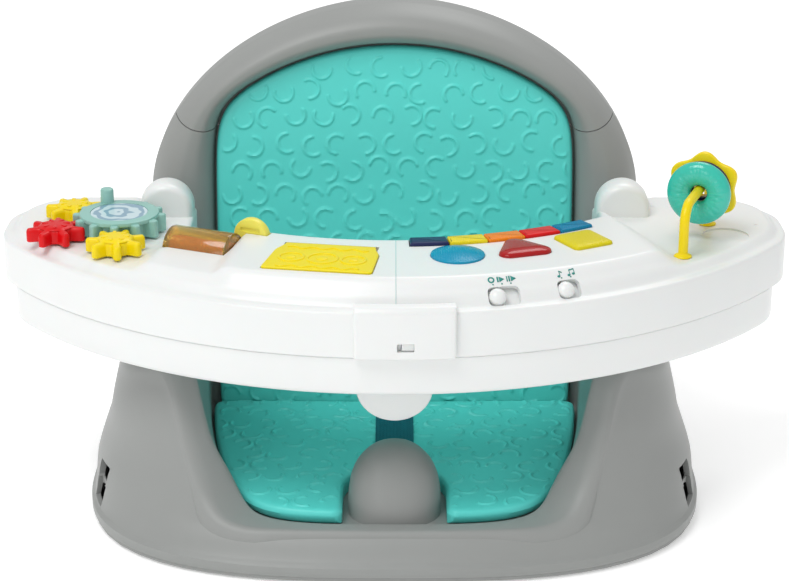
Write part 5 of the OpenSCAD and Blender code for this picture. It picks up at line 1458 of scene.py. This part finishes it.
navy_abs = moulded("navy_abs", "#262C5C", "#20254E", 0.3, Specular_IOR_Level=0.25)
key_yellow = dotted("key_yellow_abs", "#EFDC20", "#EAD414", 0.32, 1.6, Specular_IOR_Level=0.3)
key_blue = dotted("key_blue_abs", "#0084B0", "#007AA4", 0.3, 1.6, Specular_IOR_Level=0.25)
blue_dots = dotted("blue_styrene", "#0098BE", "#008CB0", 0.2, 1.7, Specular_IOR_Level=0.3)
yellow_dots = dotted("square_yellow_abs", "#E2D400", "#DACA00", 0.28, 1.7, Specular_IOR_Level=0.3)
gear_teal = moulded("grey_teal_abs", "#93C3BA", "#8BBCB2", 0.34)
ring_teal = moulded("teal_abs", "#35C2AE", "#2BB9A4", 0.2, Coat_Weight=0.25, Coat_Roughness=0.08)
core_orange = moulded("core_orange_abs", "#E0501A", "#D44214", 0.3)
foam_teal = eva_foam("teal_eva_foam", "#62E0D8", "#5ADAD2")
strap_teal = woven_strap("teal_webbing")
ink_teal = moulded("teal_ink", "#1E8E84", "#1A857B", 0.5, (0.5, 0.004))
black_rubber = moulded("black_rubber", "#1C1C1E", "#232325", 0.72, (0.5, 0.05))
black_abs = moulded("black_abs", "#1B1B1D", "#202022", 0.45, (0.6, 0.02))
silicone = moulded("translucent_silicone", "#C9C9C2", "#BFBFB8", 0.5, (0.8, 0.02), Transmission_Weight=0.2)
board_green = moulded("green_board", "#0D5A35", "#0B6B3D", 0.35, (2.0, 0.02))
cell_wrap = moulded("cell_wrap", "#39424C", "#2F3841", 0.3, (1.5, 0.01))
steel = brushed_steel("zinc_plated_steel")
label_print = printed_ripples("printed_ripples")
amber = clear_amber("clear_amber_styrene")


# ---- Putting the pieces on their bodies -----------------------------------------------------


def put(piece, body, finish, *stands_for):
    """Gives a piece its finish and its body, and hides the CAD nodes that it stands for."""
    piece.data.materials.clear()
    piece.data.materials.append(finish)
    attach(piece, body)
    if stands_for:
        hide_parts(*stands_for)
    return piece


def dress(node, finish, edge=0.0):
    """Finishes a CAD node, its edges rounded by edge millimetres."""
    part = NODES[node]
    part.data.materials.clear()
    part.data.materials.append(finish)
    for layer in [x for x in part.data.attributes if x.name == "custom_normal"]:
        part.data.attributes.remove(layer)
    part.data.polygons.foreach_set("use_smooth", [True] * len(part.data.polygons))
    weld = part.modifiers.new("weld", "WELD")
    weld.merge_threshold = 0.000002
    if edge:
        bevel = part.modifiers.new("edge", "BEVEL")
        bevel.width, bevel.segments = edge * MM, 2
        bevel.limit_method, bevel.angle_limit = "ANGLE", math.radians(38)
    split = part.modifiers.new("split", "EDGE_SPLIT")
    split.split_angle = math.radians(34)


shell, cap = seat_pieces()
put(shell, "seat", grey_pp, "seat_body")
put(cap, "seat", grey_pp, "backrest_top")
put(back_pad(), "seat", foam_teal, "back_pad")
put(seat_pad(), "seat", foam_teal, "seat_pad")
put(webbing(), "seat", strap_teal, "crotch_strap")
put(feeding_tray(), "feeding_tray", white_abs, "feeding_tray")
put(paddle(), "release_paddle", white_abs, "release_paddle")
right = put(tray_right(), "activity_tray", white_abs, "toy_tray_right")
put(tray_left(), "activity_tray", white_abs, "toy_tray_left")
for marks in switch_icons(right):
    put(marks, "activity_tray", ink_teal)
put(large_gear(), "large_gear", gear_teal, "gear_large")
put(gear_label(), "large_gear", label_print, "gear_label")
for body, angle, finish, node in (("red_gear", RED_A, red_abs, "gear_red"),
                                  ("front_gear", FRONT_A, yellow_abs, "gear_yellow_front"),
                                  ("rear_gear", REAR_A, yellow_abs, "gear_yellow_rear")):
    put(small_gear(body, angle), body, finish, node)
put(roller_shell(), "roller", amber, "roller_shell")
put(roller_core(), "roller", core_orange, "roller_core")
put(flap(), "flap", soft_yellow, "flap_page")
put(click_wheel(), "click_wheel", pale_yellow, "click_wheel")
KEY_FINISH = (("navy", navy_abs), ("yellow", key_yellow), ("orange", orange_abs), ("red", red_abs),
              ("blue", key_blue))
for number, (tone, finish) in enumerate(KEY_FINISH):
    put(key(number, tone), "key_" + tone, finish, "key_" + tone)
BUTTONS = (("round", circle(ROUND_D / 2, 120), round_top(), ROUND_P, blue_dots),
           ("triangle", triangle_outline(0), TRIANGLE_TOP, TRIANGLE_P, clear_red),
           ("square", square_outline(0), SQUARE_TOP, SQUARE_P, yellow_dots))
for form, outline, crown, p, finish in BUTTONS:
    node = "button_" + form
    put(button(form + "_cap", outline, crown, p), node, finish, node)
for use, p, l, play in (("power", POWER_P, POWER_L, 1.6), ("melody", MELODY_P, MELODY_L, 0.6)):
    travel, node = l - KNOB_D - play, use + "_knob"
    put(knob(use + "_dome", p, travel), node, white_abs, node)
    put(knob_plate(use + "_plate", p, l, travel), node, white_abs)
put(ring_bar(), "activity_tray", yellow_abs, "ring_bar")
put(teal_ring(), "teal_ring", ring_teal, "ring_teal")
put(navy_ring(), "navy_ring", navy_abs, "ring_navy")
put(star_ring(), "star_ring", yellow_abs, "ring_star")

STEEL = ("base_screws", "arch_screws", "paddle_pin", "cover_screws", "gear_spindles", "roller_axle",
         "flap_pin", "wheel_axle", "battery_contacts")
for name in STEEL:
    dress(name, steel, 0.1)
for name, finish, edge in (("base_plate", grey_pp, 0.3), ("rubber_feet", black_rubber, 0.3),
                           ("bottom_cover", white_abs, 0.2), ("battery_door", white_abs, 0.3),
                           ("join_latch", white_abs, 0.3), ("key_membrane", silicone, 0.1),
                           ("circuit_board", board_green, 0), ("slide_switches", black_abs, 0.2),
                           ("speaker", black_abs, 0.2), ("batteries", cell_wrap, 0.3)):
    dress(name, finish, edge)

# ---- Stage, light and camera ----------------------------------------------------------------


FLOOR_HALF = 6000


def studio_floor():
    """Pale floor that gives off a little light of its own, so that it fades into the background."""
    floor = make_mesh("studio_floor", at_height(rectangle(FLOOR_HALF, FLOOR_HALF), 0), [[0, 1, 2, 3]])
    glow = {"Emission Color": colour("#FFFFFF"), "Emission Strength": 0.3}
    paint = {"Roughness": 1.0, "Base Color": colour("#F6F6F6"), "Specular IOR Level": 0.0, **glow}
    material = new_material("pale_floor", paint)[0]
    floor.data.materials.append(material)


def soft_light(name, place, aim, size, power):
    """Round lamp at a place, turned to the point it lights."""
    light = bpy.data.lights.new(name, "AREA")
    light.shape, light.size, light.energy = "DISK", size, power
    lamp = bpy.data.objects.new(name, light)
    bpy.context.scene.collection.objects.link(lamp)
    lamp.location = place
    lamp.rotation_euler = (Vector(aim) - Vector(place)).to_track_quat("-Z", "Y").to_euler()


studio_floor()
world = bpy.data.worlds.new("studio")
world.use_nodes = True
world.node_tree.nodes["Background"].inputs["Color"].default_value = colour("#FFFFFF")
world.node_tree.nodes["Background"].inputs["Strength"].default_value = 0.6
bpy.context.scene.world = world
soft_light("key", (-0.8, -0.9, 2.4), (0, 0, 0.15), 1.3, 26)
soft_light("fill", (-1.2, -2.5, 1.15), (0, 0, 0.12), 1.2, 6)
soft_light("rim", (0.5, 1.4, 2.1), (0, 0, 0.25), 1.2, 11)
bpy.context.scene.view_settings.view_transform = "Standard"

AIM, DISTANCE, ELEVATION = Vector((0, -0.012, 0.160)), 1.550, math.radians(20)
FOCAL_PX, FRAME_PX = 2090, 789
camera = bpy.data.objects.new("camera", bpy.data.cameras.new("camera"))
bpy.context.scene.collection.objects.link(camera)
camera.data.sensor_width = 36
camera.data.lens = 36 * FOCAL_PX / FRAME_PX
back = Vector((0, -math.cos(ELEVATION), math.sin(ELEVATION)))
camera.location = AIM + back * DISTANCE
camera.rotation_euler = (-back).to_track_quat("-Z", "Y").to_euler()
bpy.context.scene.camera = camera
